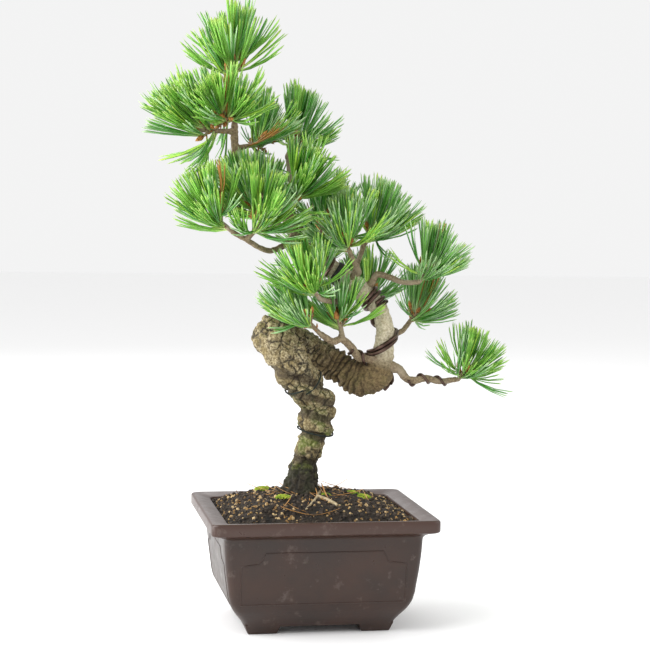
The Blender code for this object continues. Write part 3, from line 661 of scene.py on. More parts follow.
def buildPot():
    shape = potShape
    rim = shape["rimWidth"] / 2
    top = shape["height"]
    under = top - shape["rimThickness"]
    low, high = shape["levels"][0][0], shape["levels"][-1][0]
    rows = shape["wallRows"]
    heights = [low + (high - low) * k / rows for k in range(rows + 1)]
    profile = [(potWall(z), z) for z in heights]
    profile += [(rim - inward, under + rise) for inward, rise in shape["rimUnder"]]
    profile += [(rim - inward, top + rise) for inward, rise in shape["rimOver"]]
    profile += [(potWall(z) - shape["wall"], z) for z in shape["insideLevels"]]
    bm = bmesh.new()
    addLoft(bm, [roundedRectangle(half, half - depthInset, z, shape["perSide"]) for half, z in profile])
    half = potWall(shape["footHeight"]) - shape["footSetback"]
    for sideX in (-1, 1):
        for sideY in (-1, 1):
            cube = bmesh.ops.create_cube(bm, size=1)["verts"]
            for vert in cube:
                low = vert.co.z < 0
                draw = shape["footTaper"] if low else 0.0
                inX = vert.co.x * sideX < 0
                inY = vert.co.y * sideY < 0
                x = half - (shape["footWidth"] if inX else 0.0) + (draw if inX else -draw)
                y = half - depthInset - (shape["footDepth"] if inY else 0.0) + (draw if inY else -draw)
                vert.co = (x * sideX, y * sideY, 0.0 if low else shape["footHeight"] + shape["footOverlap"])
            edges = {edge for vert in cube for edge in vert.link_edges}
            bmesh.ops.bevel(bm, geom=list(edges), offset=shape["footRounding"], segments=2, affect="EDGES",
                            profile=0.6)
    pot = bmeshObject("pot_body", bm, smoothAngle=32)
    pot.data.materials.append(materials["pot"])
    finishPiece(pot, "pot_plastic", "pot")


# The moulded panel line: its ends, the notches at its upper corners, and its thickness
panelLine = {"bottom": 22.5, "top": 57.0, "edge": 9.0, "notchX": 25.0, "notchZ": 48.5, "slant": 4.0,
             "rise": 1.5, "radius": 0.5, "sunk": 0.12, "step": 3.0, "measuredAt": 40.0}


def panelPoint(face, x, z):
    wall = potWall(z) - (depthInset if face % 2 == 0 else 0.0) - panelLine["sunk"]
    return ((x, -wall, z), (wall, x, z), (-x, wall, z), (-wall, -x, z))[face]


def buildPanels():
    line = panelLine
    shoulder = line["notchZ"] + line["rise"]
    paths = []
    for face in range(4):
        reach = potWall(line["measuredAt"]) - (0.0 if face % 2 == 0 else depthInset)
        side = reach - line["edge"]
        notch = reach - line["notchX"]
        foot = notch + line["slant"]
        outline = [(-side, line["bottom"]), (side, line["bottom"]), (side, line["notchZ"]),
                   (foot, shoulder), (notch, line["top"]), (-notch, line["top"]),
                   (-foot, shoulder), (-side, line["notchZ"]), (-side, line["bottom"])]
        points = []
        for (xa, za), (xb, zb) in zip(outline, outline[1:]):
            steps = max(2, round(math.hypot(xb - xa, zb - za) / line["step"]))
            points.extend(panelPoint(face, xa + (xb - xa) * k / steps, za + (zb - za) * k / steps)
                          for k in range(steps))
        points.append(panelPoint(face, *outline[-1]))
        paths.append((points, [line["radius"]] * len(points)))
    panels = pathTubes("pot_panel_lines", paths, {"Sides": 8, "Material": materials["pot"]})
    finishPiece(panels, "pot_plastic")


buildPot()
buildPanels()
print("pot built")


# Soil: a mound to the foot of the trunk, with loose grains on it

soilShape = {
    "edgeTop": 74.0, "top": 87.2, "crownRadius": 17.0, "foot": (-7.0, 4.0), "rings": 26, "perSide": 24,
    "sides": (64, 70), "settled": 0.6, "innerRings": (10.0, 4.0, 0.5), "innerSettled": 0.4,
    "lumpSize": 7.0, "roughness": 1.5, "tallestLump": 0.7, "flatEdge": 4, "grainsAbove": 73.0,
    "steepest": 0.25,
    "grains": {
        "soil_lava": dict(material="lava", density=110000, smallest=0.0006, largest=0.0023, seed=3),
        "soil_pumice": dict(material="pumice", density=30000, smallest=0.0005, largest=0.0019, seed=11),
        "soil_clay": dict(material="clay", density=26000, smallest=0.0005, largest=0.0016, seed=23),
    },
}


def soilHeight(share):
    return soilShape["edgeTop"] + (soilShape["top"] - soilShape["edgeTop"]) * math.sin(share * math.pi / 2)


def buildSoil():
    shape = soilShape
    wall = potShape["wall"] + gap
    half = potWall(potShape["levels"][-1][0]) - wall
    rings = [roundedRectangle(half, half - depthInset, z, shape["perSide"])
             for z in (*shape["sides"], shape["edgeTop"])]
    edge = rings[-1]
    foot = Vector((*shape["foot"], shape["edgeTop"]))
    for k in range(1, shape["rings"] + 1):
        share = k / shape["rings"]
        ring = []
        for point in edge:
            out = (point - foot).normalized()
            spot = point.lerp(foot + out * shape["crownRadius"], share)
            lump = noise.fractal(spot / shape["lumpSize"], 1.0, 2.0, 4) * shape["roughness"]
            fade = min(1.0, shape["flatEdge"] * share)
            level = soilHeight(share) - shape["settled"] + min(lump, shape["tallestLump"]) * fade
            ring.append(Vector((spot.x, spot.y, level)))
        rings.append(ring)
    for inner in shape["innerRings"]:
        spots = [foot + (point - foot).normalized() * inner for point in edge]
        rings.append([Vector((spot.x, spot.y, shape["top"] - shape["innerSettled"])) for spot in spots])
    bm = bmesh.new()
    addLoft(bm, rings)
    soil = bmeshObject("soil_bed", bm)
    smoothFaces(soil)
    soil.data.materials.append(materials["soil"])
    return soil


def scatterGrains(source, name, spec, lowest):
    # The scatter works on a copy of the upward faces alone
    bm = bmesh.new()
    bm.from_mesh(source.data)
    left = [face for face in bm.faces
            if face.normal.z < soilShape["steepest"] or face.calc_center_median().z < lowest * mm]
    bmesh.ops.delete(bm, geom=left, context="FACES")
    mesh = bpy.data.meshes.new(name + "_bed")
    bm.to_mesh(mesh)
    bm.free()
    holder = newObject(name + "_bed", mesh)
    useTree(holder, grainTree, {"Density": float(spec["density"]), "Smallest": spec["smallest"],
                                "Largest": spec["largest"], "Seed": spec["seed"],
                                "Material": materials[spec["material"]]})
    grains = runModifiers(holder, name)
    smoothFaces(grains, False)
    return grains


soil = buildSoil()
for name, spec in soilShape["grains"].items():
    finishPiece(scatterGrains(soil, name, spec, soilShape["grainsAbove"]), "soil_grit")
finishPiece(soil, "soil_grit", "soil")
print("soil built")


# Trunk

trunkShape = {
    "stations": [
        (-7, 4, 87.5, 15.0), (-7, 4, 92, 12.0), (-6, 4, 97.5, 10.2), (-5, 4, 104.5, 9.5),
        (-2, 2, 115.5, 9.7), (0, 0, 124, 9.6), (2, -1, 131.5, 13.0), (3, -3, 140.5, 11.3),
        (1, -6, 150.5, 11.2), (-7, -12, 160.5, 12.6), (-16.5, -16, 173.5, 13.2), (-25, -15, 185.5, 13.0),
        (-29, -8, 192.5, 12.6), (-25.5, 2, 195, 12.0), (-14.5, 10, 191, 11.3),
        (-3, 14, 184.5, 10.6), (11, 14, 176.5, 9.9), (24.5, 11, 168, 9.9), (36, 6, 163, 10.6),
        (43.5, 1, 166.5, 9.6), (47.2, -1, 176.5, 7.4), (48.2, -2, 187.5, 6.1), (48.3, 0, 200.5, 6.1),
        (43.5, 4, 214, 6.2), (34.3, 8, 224, 6.7), (22.8, 10, 231.5, 6.6), (11.3, 11, 239, 6.0),
        (0, 11, 249.5, 5.4), (-9.7, 8, 261.5, 5.1), (-19, 6, 274.5, 4.7), (-33, 4, 288, 4.3),
        (-45, 2, 298.5, 3.8), (-52, 0, 308.5, 3.3), (-55, -1, 319.5, 2.8), (-55.5, -1, 332.5, 2.4),
        (-55, -1, 346.5, 2.1)],
    "folds": (8, 12, 19), "burlSwell": 1.07, "overlap": 0.4, "overlapTaper": 0.7, "step": 2.0, "voxel": 0.7,
    "plateDepth": 0.0013, "lumpSize": 0.012, "lumpHeight": 0.0095, "ringDepth": 0.0009, "fullGirth": 11.0,
    # Shares of the trunk's length: how far up it is cracked and grooved, and where it is wrinkled
    "crackedTo": 0.36, "crackFade": 9, "leastCracked": 0.12,
    "grooves": [(108, 1.6, 2.5), (126.5, 3.0, 2.2), (140, 1.9, 2.2), (152, 1.2, 2.5), (163, 2.2, 2.4)],
    "grooveSlant": 0.3, "groovedTo": 0.24,
    "wrinkleLength": 4.2, "wobble": 2.5, "wobbleSize": 6.0, "wrinkledAt": 0.43, "wrinkleFade": 9,
    "upperWrinkles": 0.2, "upperFrom": 0.5, "upperFade": 8,
}
trunkLimb = Limb(trunkShape["stations"], trunkShape["step"])


def trunkRuns(folds):
    # The trunk in runs from fold to fold, each a little longer than its stretch
    ends = [0] + folds + [len(trunkLimb.points) - 1]
    over, taper = trunkShape["overlap"], trunkShape["overlapTaper"]
    runs = []
    for k, (first, last) in enumerate(zip(ends, ends[1:])):
        points = trunkLimb.points[first:last + 1]
        radii = trunkLimb.radii[first:last + 1]
        if k > 0:
            points = [points[0] - trunkLimb.tangent(first) * radii[0] * over] + points
            radii = [radii[0] * taper] + radii
        if k < len(ends) - 2:
            points = points + [points[-1] + trunkLimb.tangent(last) * radii[-1] * over]
            radii = radii + [radii[-1] * taper]
        runs.append((points, radii))
    return runs


def barkValues(place, i):
    # Where a point lies along the trunk, and how cracked, ringed and thick the trunk is there
    shape = trunkShape
    reach = trunkLimb.reach[i] + (place - trunkLimb.points[i]).dot(trunkLimb.tangent(i))
    share = reach / trunkLimb.reach[-1]
    cracked = max(shape["leastCracked"], 1.0 - (share - shape["crackedTo"]) * shape["crackFade"])
    wobble = noise.noise(place / shape["wobbleSize"]) * shape["wobble"]
    wrinkle = math.sin((reach + wobble) * fullTurn / shape["wrinkleLength"])
    strength = max(0.0, 1 - abs(share - shape["wrinkledAt"]) * shape["wrinkleFade"])
    strength += shape["upperWrinkles"] * min(1.0, max(0.0, share - shape["upperFrom"]) * shape["upperFade"])
    level = place.z + shape["grooveSlant"] * place.x
    groove = sum(depth * math.exp(-((level - z) / width) ** 2) for z, depth, width in shape["grooves"])
    ring = wrinkle * strength - (groove if share < shape["groovedTo"] else 0.0)
    return share, min(1.0, cracked), ring, min(1.0, trunkLimb.radii[i] / shape["fullGirth"])


def buildTrunk():
    folds = [trunkLimb.nearest(Vector(trunkShape["stations"][i][:3])) for i in trunkShape["folds"]]
    rough = pathTubes("trunk_runs", trunkRuns(folds), {"Sides": 40, "Material": materials["bark"]})
    bm = bmesh.new()
    bm.from_mesh(rough.data)
    for fold in folds:
        turn = trunkLimb.tangent(fold).to_track_quat("Z", "Y").to_matrix().to_4x4()
        burl = bmesh.ops.create_uvsphere(bm, u_segments=32, v_segments=20,
                                         radius=trunkLimb.radii[fold] * trunkShape["burlSwell"] * mm)
        bmesh.ops.transform(bm, matrix=Matrix.Translation(toWorld(trunkLimb.points[fold])) @ turn,
                            verts=burl["verts"])
    bm.to_mesh(rough.data)
    bm.free()
    remesh = rough.modifiers.new("skin", "REMESH")
    remesh.mode = "VOXEL"
    remesh.voxel_size = trunkShape["voxel"] * mm
    trunk = runModifiers(rough, "trunk_skin")

    finder = KDTree(len(trunkLimb.points))
    for i, point in enumerate(trunkLimb.points):
        finder.insert(point, i)
    finder.balance()
    places = [vert.co / mm - potOffset for vert in trunk.data.vertices]
    columns = zip(*(barkValues(place, finder.find(place)[1]) for place in places))
    storeValues(trunk.data, "FLOAT", dict(zip(("along", "rough", "rings", "girth"), map(list, columns))))
    useTree(trunk, barkTree, {
        "Plate Size": crackShape["plate"] * mm, "Plate Depth": trunkShape["plateDepth"],
        "Lump Size": trunkShape["lumpSize"], "Lump Height": trunkShape["lumpHeight"],
        "Ring Depth": trunkShape["ringDepth"], "Material": materials["bark"]})
    trunk = runModifiers(trunk, "bark_trunk")
    finishPiece(trunk, "pine_bark", "trunk")
    return trunk


trunk = buildTrunk()
print("trunk built:", len(trunk.data.polygons), "faces")


# Boughs

boughs = {
    "bough_low_left": dict(through=[(30, -4, 179.5), (24, -8, 186.5), (17, -11, 192), (10.5, -14, 190.5),
                                    (2, -18, 195.5)], radii=(3.1, 2.0)),
    "bough_low_right": dict(through=[(59, -3, 170.5), (64, -4, 164.5), (69, -5, 163.5), (77, -6, 165),
                                     (86, -6, 163), (98, -5, 164)], radii=(3.1, 1.8)),
    "bough_lower_right": dict(through=[(58, 6, 194.5), (63.5, 9, 196.5), (67.5, 11.5, 200.5)],
                              radii=(2.1, 1.6)),
    "bough_upper_right": dict(through=[(43, 1, 235), (52, 0, 233), (60, -2, 230), (69, -4, 230)],
                              radii=(2.4, 1.6)),
    "bough_front": dict(through=[(19, -3, 220), (13.5, -9, 217), (7.5, -16, 217.5), (1, -22, 219)],
                        radii=(2.4, 1.6)),
    "bough_centre": dict(through=[(30, -1, 236.5), (26.5, -4, 242.5), (23.5, -7, 247.5)], radii=(2.3, 1.6)),
    "bough_centre_back": dict(through=[(31, 19, 234.5), (34, 20, 243.5), (36.5, 18, 252.5)],
                              radii=(2.2, 1.6)),
    "bough_left_low": dict(through=[(-19, -3, 255.5), (-31, -11, 250.5), (-40, -17, 252.5),
                                    (-48, -20, 257), (-56, -23, 261)], radii=(2.3, 1.5)),
    "bough_left_high": dict(through=[(-27, -3, 270.5), (-34, -8, 268.5)], radii=(2.0, 1.6)),
    "bough_high_right": dict(through=[(-14, 15, 284.5), (-14, 20, 296.5), (-15.5, 25, 312.5)],
                             radii=(2.0, 1.4)),
    "bough_back_low": dict(through=[(22, 24, 231.5), (18, 33, 234.5), (14, 41, 240.5)], radii=(2.3, 1.6)),
    "bough_back_high": dict(through=[(-13, 19, 262.5), (-19, 28, 266.5), (-24, 36, 272.5)], radii=(2.1, 1.5)),
    "bough_back_right": dict(through=[(49, 13, 202.5), (47, 23, 206.5), (46, 33, 212.5)], radii=(2.1, 1.5)),
}
limbs = {"trunk": trunkLimb}
for name, spec in boughs.items():
    limbs[name] = growLimb(trunkLimb, spec["through"], spec["radii"], 1.5)
barkBoughs = pathTubes("bark_boughs", [(limbs[name].points, limbs[name].radii) for name in boughs],
                       {"Sides": 20, "Lump": 0.0013, "Lump Size": 0.0022, "Material": materials["shoot"]})
finishPiece(barkBoughs, "pine_bark", *boughs)
print("boughs built:", len(boughs))


# Shoots and needles

# What carries each tuft, the tip of its shoot, the length of its needles and its colour
tufts = {
    "needles_top": dict(on="trunk", tip=(-57, -1, 375.5), length=42, tint="fresh",
                        leanLow=58),
    "needles_top_front": dict(on="trunk", tip=(-66, -24, 337.5), length=40, tint="fresh"),
    "needles_top_left": dict(on="trunk", tip=(-80, -9, 328.5), length=44, tint="fresh"),
    "needles_top_right": dict(on="trunk", tip=(-33, 15, 322.5), length=38, tint="deep"),
    "needles_top_back": dict(on="trunk", tip=(-62, 24, 337.5), length=38, tint="fresh"),
    "needles_high_right": dict(on="bough_high_right", tip=(-9, 28, 327.5), length=38, tint="deep"),
    "needles_centre_high": dict(on="trunk", tip=(-13, -13, 289.5), length=40, tint="fresh"),
    "needles_left_tip": dict(on="bough_left_low", tip=(-72, -27, 273), length=40, tint="fresh"),
    "needles_left_mid": dict(on="bough_left_low", tip=(-40, -31, 270), length=40, tint="fresh"),
    "needles_left_high": dict(on="bough_left_high", tip=(-47, -8, 284.5), length=38, tint="deep"),
    "needles_left_back": dict(on="trunk", tip=(-42, 26, 292.5), length=36, tint="deep"),
    "needles_back_high": dict(on="bough_back_high", tip=(-29, 45, 281.5), length=38, tint="deep"),
    "needles_mid_back": dict(on="trunk", tip=(14, 31, 269.5), length=36, tint="deep"),
    "needles_centre_left": dict(on="bough_centre", tip=(17, -13, 259.5), length=38, tint="blue"),
    "needles_centre_right": dict(on="bough_centre_back", tip=(44, 13, 264.5), length=40, tint="blue"),
    "needles_front": dict(on="bough_front", tip=(-10, -32, 229.5), length=38, tint="fresh"),
    "needles_back_low": dict(on="bough_back_low", tip=(12, 49, 250.5), length=38, tint="deep"),
    "needles_low_left": dict(on="bough_low_left", tip=(-11, -22, 207.5), length=36, tint="blue"),
    "needles_low_middle": dict(on="bough_low_left", tip=(15, -7, 208.5), length=32, tint="deep"),
    "needles_upper_right": dict(on="bough_upper_right", tip=(78, -7, 240.5), length=35, tint="blue"),
    "needles_lower_right": dict(on="bough_lower_right", tip=(75, 15, 209.5), length=35, tint="blue"),
    "needles_right_tip": dict(on="bough_low_right", tip=(104, -7, 171.5), length=33, tint="fresh"),
    "needles_back_right": dict(on="bough_back_right", tip=(45, 42, 221.5), length=36, tint="blue"),
}
growth = {
    "stemRadii": (1.7, 1.2), "stemStep": 2.0, "shootLength": 17.0, "leastBare": 0.25, "crownAhead": 6,
    "sideTwigs": 5, "sideTwigLength": 8.5, "sideTwigLengths": (0.75, 1.0), "sideTwigLean": 50,
    "sideTwigRadius": 0.9, "sideTwigTaper": 0.8, "sideTwigRoots": (3, 2.2), "sideTwigLowest": 0.4,
    "sideTwigRise": 0.25, "sideTwigSag": 0.5, "sideTwigBare": 0.3, "sideTwigStep": 1.5,
    "scales": 22, "scaleLean": 0.9, "scaleSizes": (0.6, 1.2), "scalesTo": 0.96, "budSizes": (0.8, 1.15),
    "bundles": 60, "triesEach": 5, "bundlesTo": 0.97, "leanLow": 86, "leanHigh": 6, "leanSpread": 0.15,
    "turnSpread": 0.3, "rise": 0.34, "outerRise": 0.45, "fallShare": 0.35, "upturned": 0.8,
    "lengths": (0.86, 1.03), "shortest": 0.78, "cut": 2.0, "margin": -4.5, "woodClearance": 0.9,
    # Draws above these make a bundle dead, young or of the other green
    "dryFrom": 0.992, "youngFrom": 0.86, "otherFrom": 0.58,
}
needleShape = {
    "length": 38.0, "width": 1.4, "depth": 0.6, "splayRoot": 1.5, "splayTip": 5.5, "sheath": 0.25,
    "bow": {"upright": 4.0, "outer": 12.0}, "outerLean": 42,
    "shares": (0.0, 0.3, 0.65, 0.94), "widths": (0.6, 0.95, 1.0, 0.82),
}


def templateObject(name, bm):
    # A template isn't linked to the scene; the spray tree alone uses it
    bmesh.ops.recalc_face_normals(bm, faces=bm.faces)
    bmesh.ops.scale(bm, vec=(mm, mm, mm), verts=bm.verts)
    mesh = bpy.data.meshes.new(name)
    bm.to_mesh(mesh)
    bm.free()
    return bpy.data.objects.new(name, mesh)


def pointedFaces(bm, rows, tip):
    # Faces between the rows and up to the tip, each with the number of its side
    faces = []
    sides = range(len(rows[0]))
    for low, high in zip(rows, rows[1:]):
        for i in sides:
            j = (i + 1) % len(sides)
            faces.append((i, bm.faces.new((low[i], low[j], high[j], high[i]))))
    for i in sides:
        faces.append((i, bm.faces.new((rows[-1][i], rows[-1][(i + 1) % len(sides)], tip))))
    return faces


def bundleTemplate(name, seed, splay, bowMm, count=5):
    # Needles from one sheath, each flat inside and ridged outside, bowed toward +X
    rng = random.Random(seed)
    bm = bmesh.new()
    tipward = bm.verts.layers.float.new("tipward")
    inner = bm.faces.layers.int.new("inner")
    for k in range(count):
        turn = k * fullTurn / count + rng.uniform(-0.25, 0.25)
        out = Vector((math.cos(turn), math.sin(turn), 0))
        side = Vector((-math.sin(turn), math.cos(turn), 0))
        length = needleShape["length"] * rng.uniform(0.92, 1.0)
        lean = math.radians(needleShape["splayTip"] * splay * rng.uniform(0.7, 1.3))

        def centre(t):
            sway = math.radians(needleShape["splayRoot"]) * (1 - t) + lean * t
            return (out * (needleShape["sheath"] + math.sin(sway) * length * t)
                    + Vector((bowMm * t * t, 0, length * t * math.cos(sway))))

        rows = []
        for share, width in zip(needleShape["shares"], needleShape["widths"]):
            half = needleShape["width"] * width / 2
            spot = centre(share)
            row = [bm.verts.new(spot + side * half), bm.verts.new(spot - side * half),
                   bm.verts.new(spot - out * needleShape["depth"] * width)]
            for vert in row:
                vert[tipward] = share
            rows.append(row)
        tip = bm.verts.new(centre(1.0))
        tip[tipward] = 1.0
        for i, face in pointedFaces(bm, rows, tip):
            face[inner] = 1 if i else 0
    return templateObject(name, bm)


def spindleTemplate(name, length, radius, sides):
    # A pointed bud or scale along +Z
    bm = bmesh.new()
    rows = []
    angles = [k * fullTurn / sides for k in range(sides)]
    for share, width in ((0.0, 0.6), (0.35, 1.0), (0.7, 0.6)):
        rows.append([bm.verts.new((math.cos(angle) * radius * width, math.sin(angle) * radius * width,
                                   length * share)) for angle in angles])
    pointedFaces(bm, rows, bm.verts.new((0, 0, length)))
    bm.faces.new(rows[0])
    return templateObject(name, bm)


def staysInside(point, heart, others):
    # Within the walls half way to each neighbour's heart, give or take the margin
    for other in others:
        apart = (heart - other).length
        wall = ((point - other).length_squared - (point - heart).length_squared) / (2 * apart)
        if wall < growth["margin"]:
            return False
    return True


def bundleFits(root, aim, reach, lift, heart, others, tree):
    for share in (0.35, 0.55, 0.75, 0.9, 1.0):
        point = root + aim * reach * share + lift * share * share
        if not staysInside(point, heart, others):
            return False
        if tree.find_nearest(point)[3] < growth["woodClearance"]:
            return False
    return tree.ray_cast(root + aim * reach * 0.3, aim, reach * 0.7)[0] is None


def growShoots(stem, rng):
    # The needle-bearing end of the stem, and finer twigs that leave it; each with its bare part
    length = stem.reach[-1]
    rows = [(stem, max(growth["leastBare"], 1 - growth["shootLength"] / length))]
    start = rng.uniform(0, fullTurn)
    lean = math.radians(growth["sideTwigLean"])
    radius = growth["sideTwigRadius"]
    nearest, spacing = growth["sideTwigRoots"]
    for k in range(growth["sideTwigs"]):
        place, way, _ = stem.at(max(growth["sideTwigLowest"], 1 - (nearest + spacing * k) / length))
        out = around(*crossAxes(way), start + k * goldenTurn)
        aim = (around(way, out, lean) + zAxis * growth["sideTwigRise"]).normalized()
        reach = growth["sideTwigLength"] * rng.uniform(*growth["sideTwigLengths"])
        middle = place + aim * reach * 0.5 - zAxis * growth["sideTwigSag"]
        twig = Limb([(*place, radius), (*middle, radius),
                     (*(place + aim * reach), radius * growth["sideTwigTaper"])], growth["sideTwigStep"])
        rows.append((twig, growth["sideTwigBare"]))
    return rows


def dressShoots(rows, rng):
    # A bud on each tip, and scales along the shoots
    buds = []
    for twig, _ in rows:
        way = twig.tangent(len(twig.points) - 1)
        buds.append((twig.points[-1] - way * 0.4, way, zAxis, rng.uniform(*growth["budSizes"])))
    scales = []
    for k in range(growth["scales"]):
        twig, bare = rows[k % len(rows)]
        place, way, radius = twig.at(bare + (growth["scalesTo"] - bare) * rng.random())
        out = around(*crossAxes(way), k * goldenTurn)
        scales.append((place + out * radius * 0.8, (way + out * growth["scaleLean"]).normalized(), zAxis,
                       rng.uniform(*growth["scaleSizes"])))
    return buds, scales


def pickTint(tint, draw):
    if draw > growth["dryFrom"]:
        return "dry"
    if draw > growth["youngFrom"]:
        return "young"
    if draw > growth["otherFrom"]:
        return "fresh" if tint == "deep" else "deep"
    return tint


def growBundles(spec, rows, heart, others, tree, rng):
    # Bundles turn by the golden angle; each is shortened until it fits or is left out
    grown = []
    tries = 0
    while len(grown) < growth["bundles"] and tries < growth["bundles"] * growth["triesEach"]:
        twig, bare = rows[0] if tries % 5 < 2 else rows[tries % len(rows)]
        share = tries * goldenShare % 1.0
        root, way, radius = twig.at(bare + (growth["bundlesTo"] - bare) * share)
        leanLow = spec.get("leanLow", growth["leanLow"])
        lean = math.radians(leanLow + (growth["leanHigh"] - leanLow) * share)
        lean += rng.uniform(-growth["leanSpread"], growth["leanSpread"])
        kind = "outer" if lean > math.radians(needleShape["outerLean"]) else "upright"
        turn = tries * goldenTurn + rng.uniform(-growth["turnSpread"], growth["turnSpread"])
        out = around(*crossAxes(way), turn)
        rise = growth["rise"] * (growth["outerRise"] if kind == "outer" else 1.0)
        aim = around(way, out, lean) + zAxis * rise
        if aim.z < 0:                    # few needles hang: most turn up as they grow
            aim.z *= -growth["fallShare"] if rng.random() < growth["upturned"] else 1
        aim.normalize()
        bow = way * 0.5 + zAxis
        bow = (bow - aim * bow.dot(aim)).normalized()
        reach = spec["length"] * rng.uniform(*growth["lengths"])
        tries += 1
        draw = rng.random()
        while reach > spec["length"] * growth["shortest"]:
            if bundleFits(root, aim, reach, bow * needleShape["bow"][kind], heart, others, tree):
                grown.append((pickTint(spec["tint"], draw), root + out * radius * 0.5, aim, bow,
                              reach / needleShape["length"], kind))
                break
            reach -= growth["cut"]
    return grown


def growTufts():
    tree = surfaceTree([trunk, barkBoughs])
    stems = {}
    hearts = {}
    for name, spec in tufts.items():
        stem = growLimb(limbs[spec["on"]], [spec["tip"]], growth["stemRadii"], growth["stemStep"])
        stems[name] = stem
        hearts[name] = stem.points[-1] + stem.tangent(len(stem.points) - 1) * growth["crownAhead"]
    paths = []
    buds = []
    scales = []
    sprays = {tint: [] for tint in ("fresh", "blue", "deep", "young", "dry")}
    for seed, (name, spec) in enumerate(tufts.items()):
        rng = random.Random(seed * 7 + 1)
        others = [heart for other, heart in hearts.items() if other != name]
        rows = growShoots(stems[name], rng)
        paths.extend((twig.points, twig.radii) for twig, _ in rows)
        moreBuds, moreScales = dressShoots(rows, rng)
        buds += moreBuds
        scales += moreScales
        for tint, *row in growBundles(spec, rows, hearts[name], others, tree, rng):
            sprays[tint].append(row)
    return paths, sprays, buds, scales


shootPaths, sprays, budRows, scaleRows = growTufts()
twigs = pathTubes("bark_twigs", shootPaths, {"Sides": 10, "Lump": 0.0008, "Lump Size": 0.0013,
                                             "Material": materials["shoot"]})
finishPiece(twigs, "pine_bark")
for name, rows, template in (("buds", budRows, spindleTemplate("bud_template", 6.0, 1.7, 7)),
                             ("bud_scales", scaleRows, spindleTemplate("scale_template", 3.2, 0.6, 4))):
    finishPiece(pointSpray(name, rows, template, materials["bud"]), "pine_bark")

bundles = {"outer": bundleTemplate("bundle_outer", 9, 1.2, needleShape["bow"]["outer"]),
           "upright": bundleTemplate("bundle_upright", 4, 0.8, needleShape["bow"]["upright"])}
innerTints = {"fresh": "inner_fresh", "young": "inner_fresh", "blue": "inner_pale", "deep": "inner_pale",
              "dry": "dry"}
for tint, rows in sprays.items():
    nodes = [name for name, spec in tufts.items() if spec["tint"] == tint]
    for kind, replaced in (("outer", nodes[::2]), ("upright", nodes[1::2])):
        piece = pointSpray("needles_" + tint + "_" + kind, [row for row in rows if row[4] == kind],
                           bundles[kind], materials[tint], materials[innerTints[tint]])
        finishPiece(piece, "pine_needles", *replaced)
    print("needles", tint, len(rows), "bundles")


# Training wires and rubber pads

wires = {
    "wire_riser": dict(on="trunk", part=(0.487, 0.585), turns=1.6, angle=100, radius=1.35),
    "wire_ring": dict(on="trunk", part=(0.597, 0.623), turns=1.7, angle=200, radius=1.35),
    "wire_crown": dict(on="trunk", part=(0.694, 0.720), turns=2.0, angle=90, radius=0.9),
    "wire_high": dict(on="trunk", part=(0.779, 0.793), turns=1.4, angle=60, radius=0.9),
    "wire_low_left": dict(on="bough_low_left", part=(0.12, 0.45), turns=1.4, angle=20, radius=1.0),
    "wire_low_right": dict(on="bough_low_right", part=(0.35, 0.90), turns=2.5, angle=0, radius=0.9),
}
winding = {"perTurn": 28, "startOut": 0.8, "clearance": 0.92, "step": 0.15, "farthest": 6,
           "pairedOver": 1.2, "pairShift": 2.9}


def limbFrames(limb, parts):
    rows = []
    side = None
    for part in parts:
        place, tangent, radius = limb.at(part)
        if side is None:
            side = crossAxes(tangent)[0]
        side = (side - tangent * side.dot(tangent)).normalized()
        rows.append((place, radius, side, tangent.cross(side)))
    return rows


def windWire(spec, tree, shift=0.0):
    # A helix round its limb, pushed out until it clears the bark, then evened out
    limb = limbs[spec["on"]]
    thick = spec["radius"]
    count = round(spec["turns"] * winding["perTurn"])
    first, last = spec["part"]
    extra = shift / limb.reach[-1]
    parts = [first + extra + (last - first) * k / count for k in range(count + 1)]
    points = []
    for k, (place, radius, side, up) in enumerate(limbFrames(limb, parts)):
        way = around(side, up, math.radians(spec["angle"]) + k / winding["perTurn"] * fullTurn)
        out = radius + thick * winding["startOut"]
        while (not clearOf(tree, place + way * out, thick * winding["clearance"])
               and out < radius + winding["farthest"]):
            out += winding["step"]
        points.append(place + way * out)
    smooth = [points[0]] + [(a + b * 2 + c) / 4 for a, b, c in zip(points, points[1:], points[2:])]
    smooth.append(points[-1])
    return smooth, [thick] * len(smooth)


def buildWires():
    tree = surfaceTree([trunk, barkBoughs])
    for name, spec in wires.items():
        paths = [windWire(spec, tree)]
        if spec["radius"] > winding["pairedOver"]:
            paths.append(windWire(spec, tree, winding["pairShift"]))
        piece = pathTubes(name.replace("wire_", "training_wire_"), paths,
                          {"Sides": 14, "Material": materials["wire"]})
        finishPiece(piece, "wire_aluminium", name)


# Thin dark twine in the trunk's creases: a point near each, and the angle at which it starts
straps = {"spots": [((1, -0.5, 127), 20), ((-8, -13, 162), 140)], "slope": 0.008, "radius": 0.55}


def buildStraps():
    tree = surfaceTree([trunk])
    paths = []
    for place, angle in straps["spots"]:
        part = trunkLimb.reach[trunkLimb.nearest(Vector(place))] / trunkLimb.reach[-1]
        paths.append(windWire(dict(on="trunk", part=(part, part + straps["slope"]), turns=1.0, angle=angle,
                                   radius=straps["radius"]), tree))
    piece = pathTubes("trunk_straps", paths, {"Sides": 10, "Material": materials["strap"]})
    finishPiece(piece, "pad_rubber")


# Rubber strips that keep wire off the bark: where they lie, and how far round they go in degrees
pads = {"pad_crown": dict(part=(0.674, 0.688), middle=200, reach=280),
        "pad_high": dict(part=(0.842, 0.858), middle=300, reach=240)}
padShape = {"rows": 8, "steps": 40, "clearance": 0.2, "thickness": 1.0, "crown": 0.35}


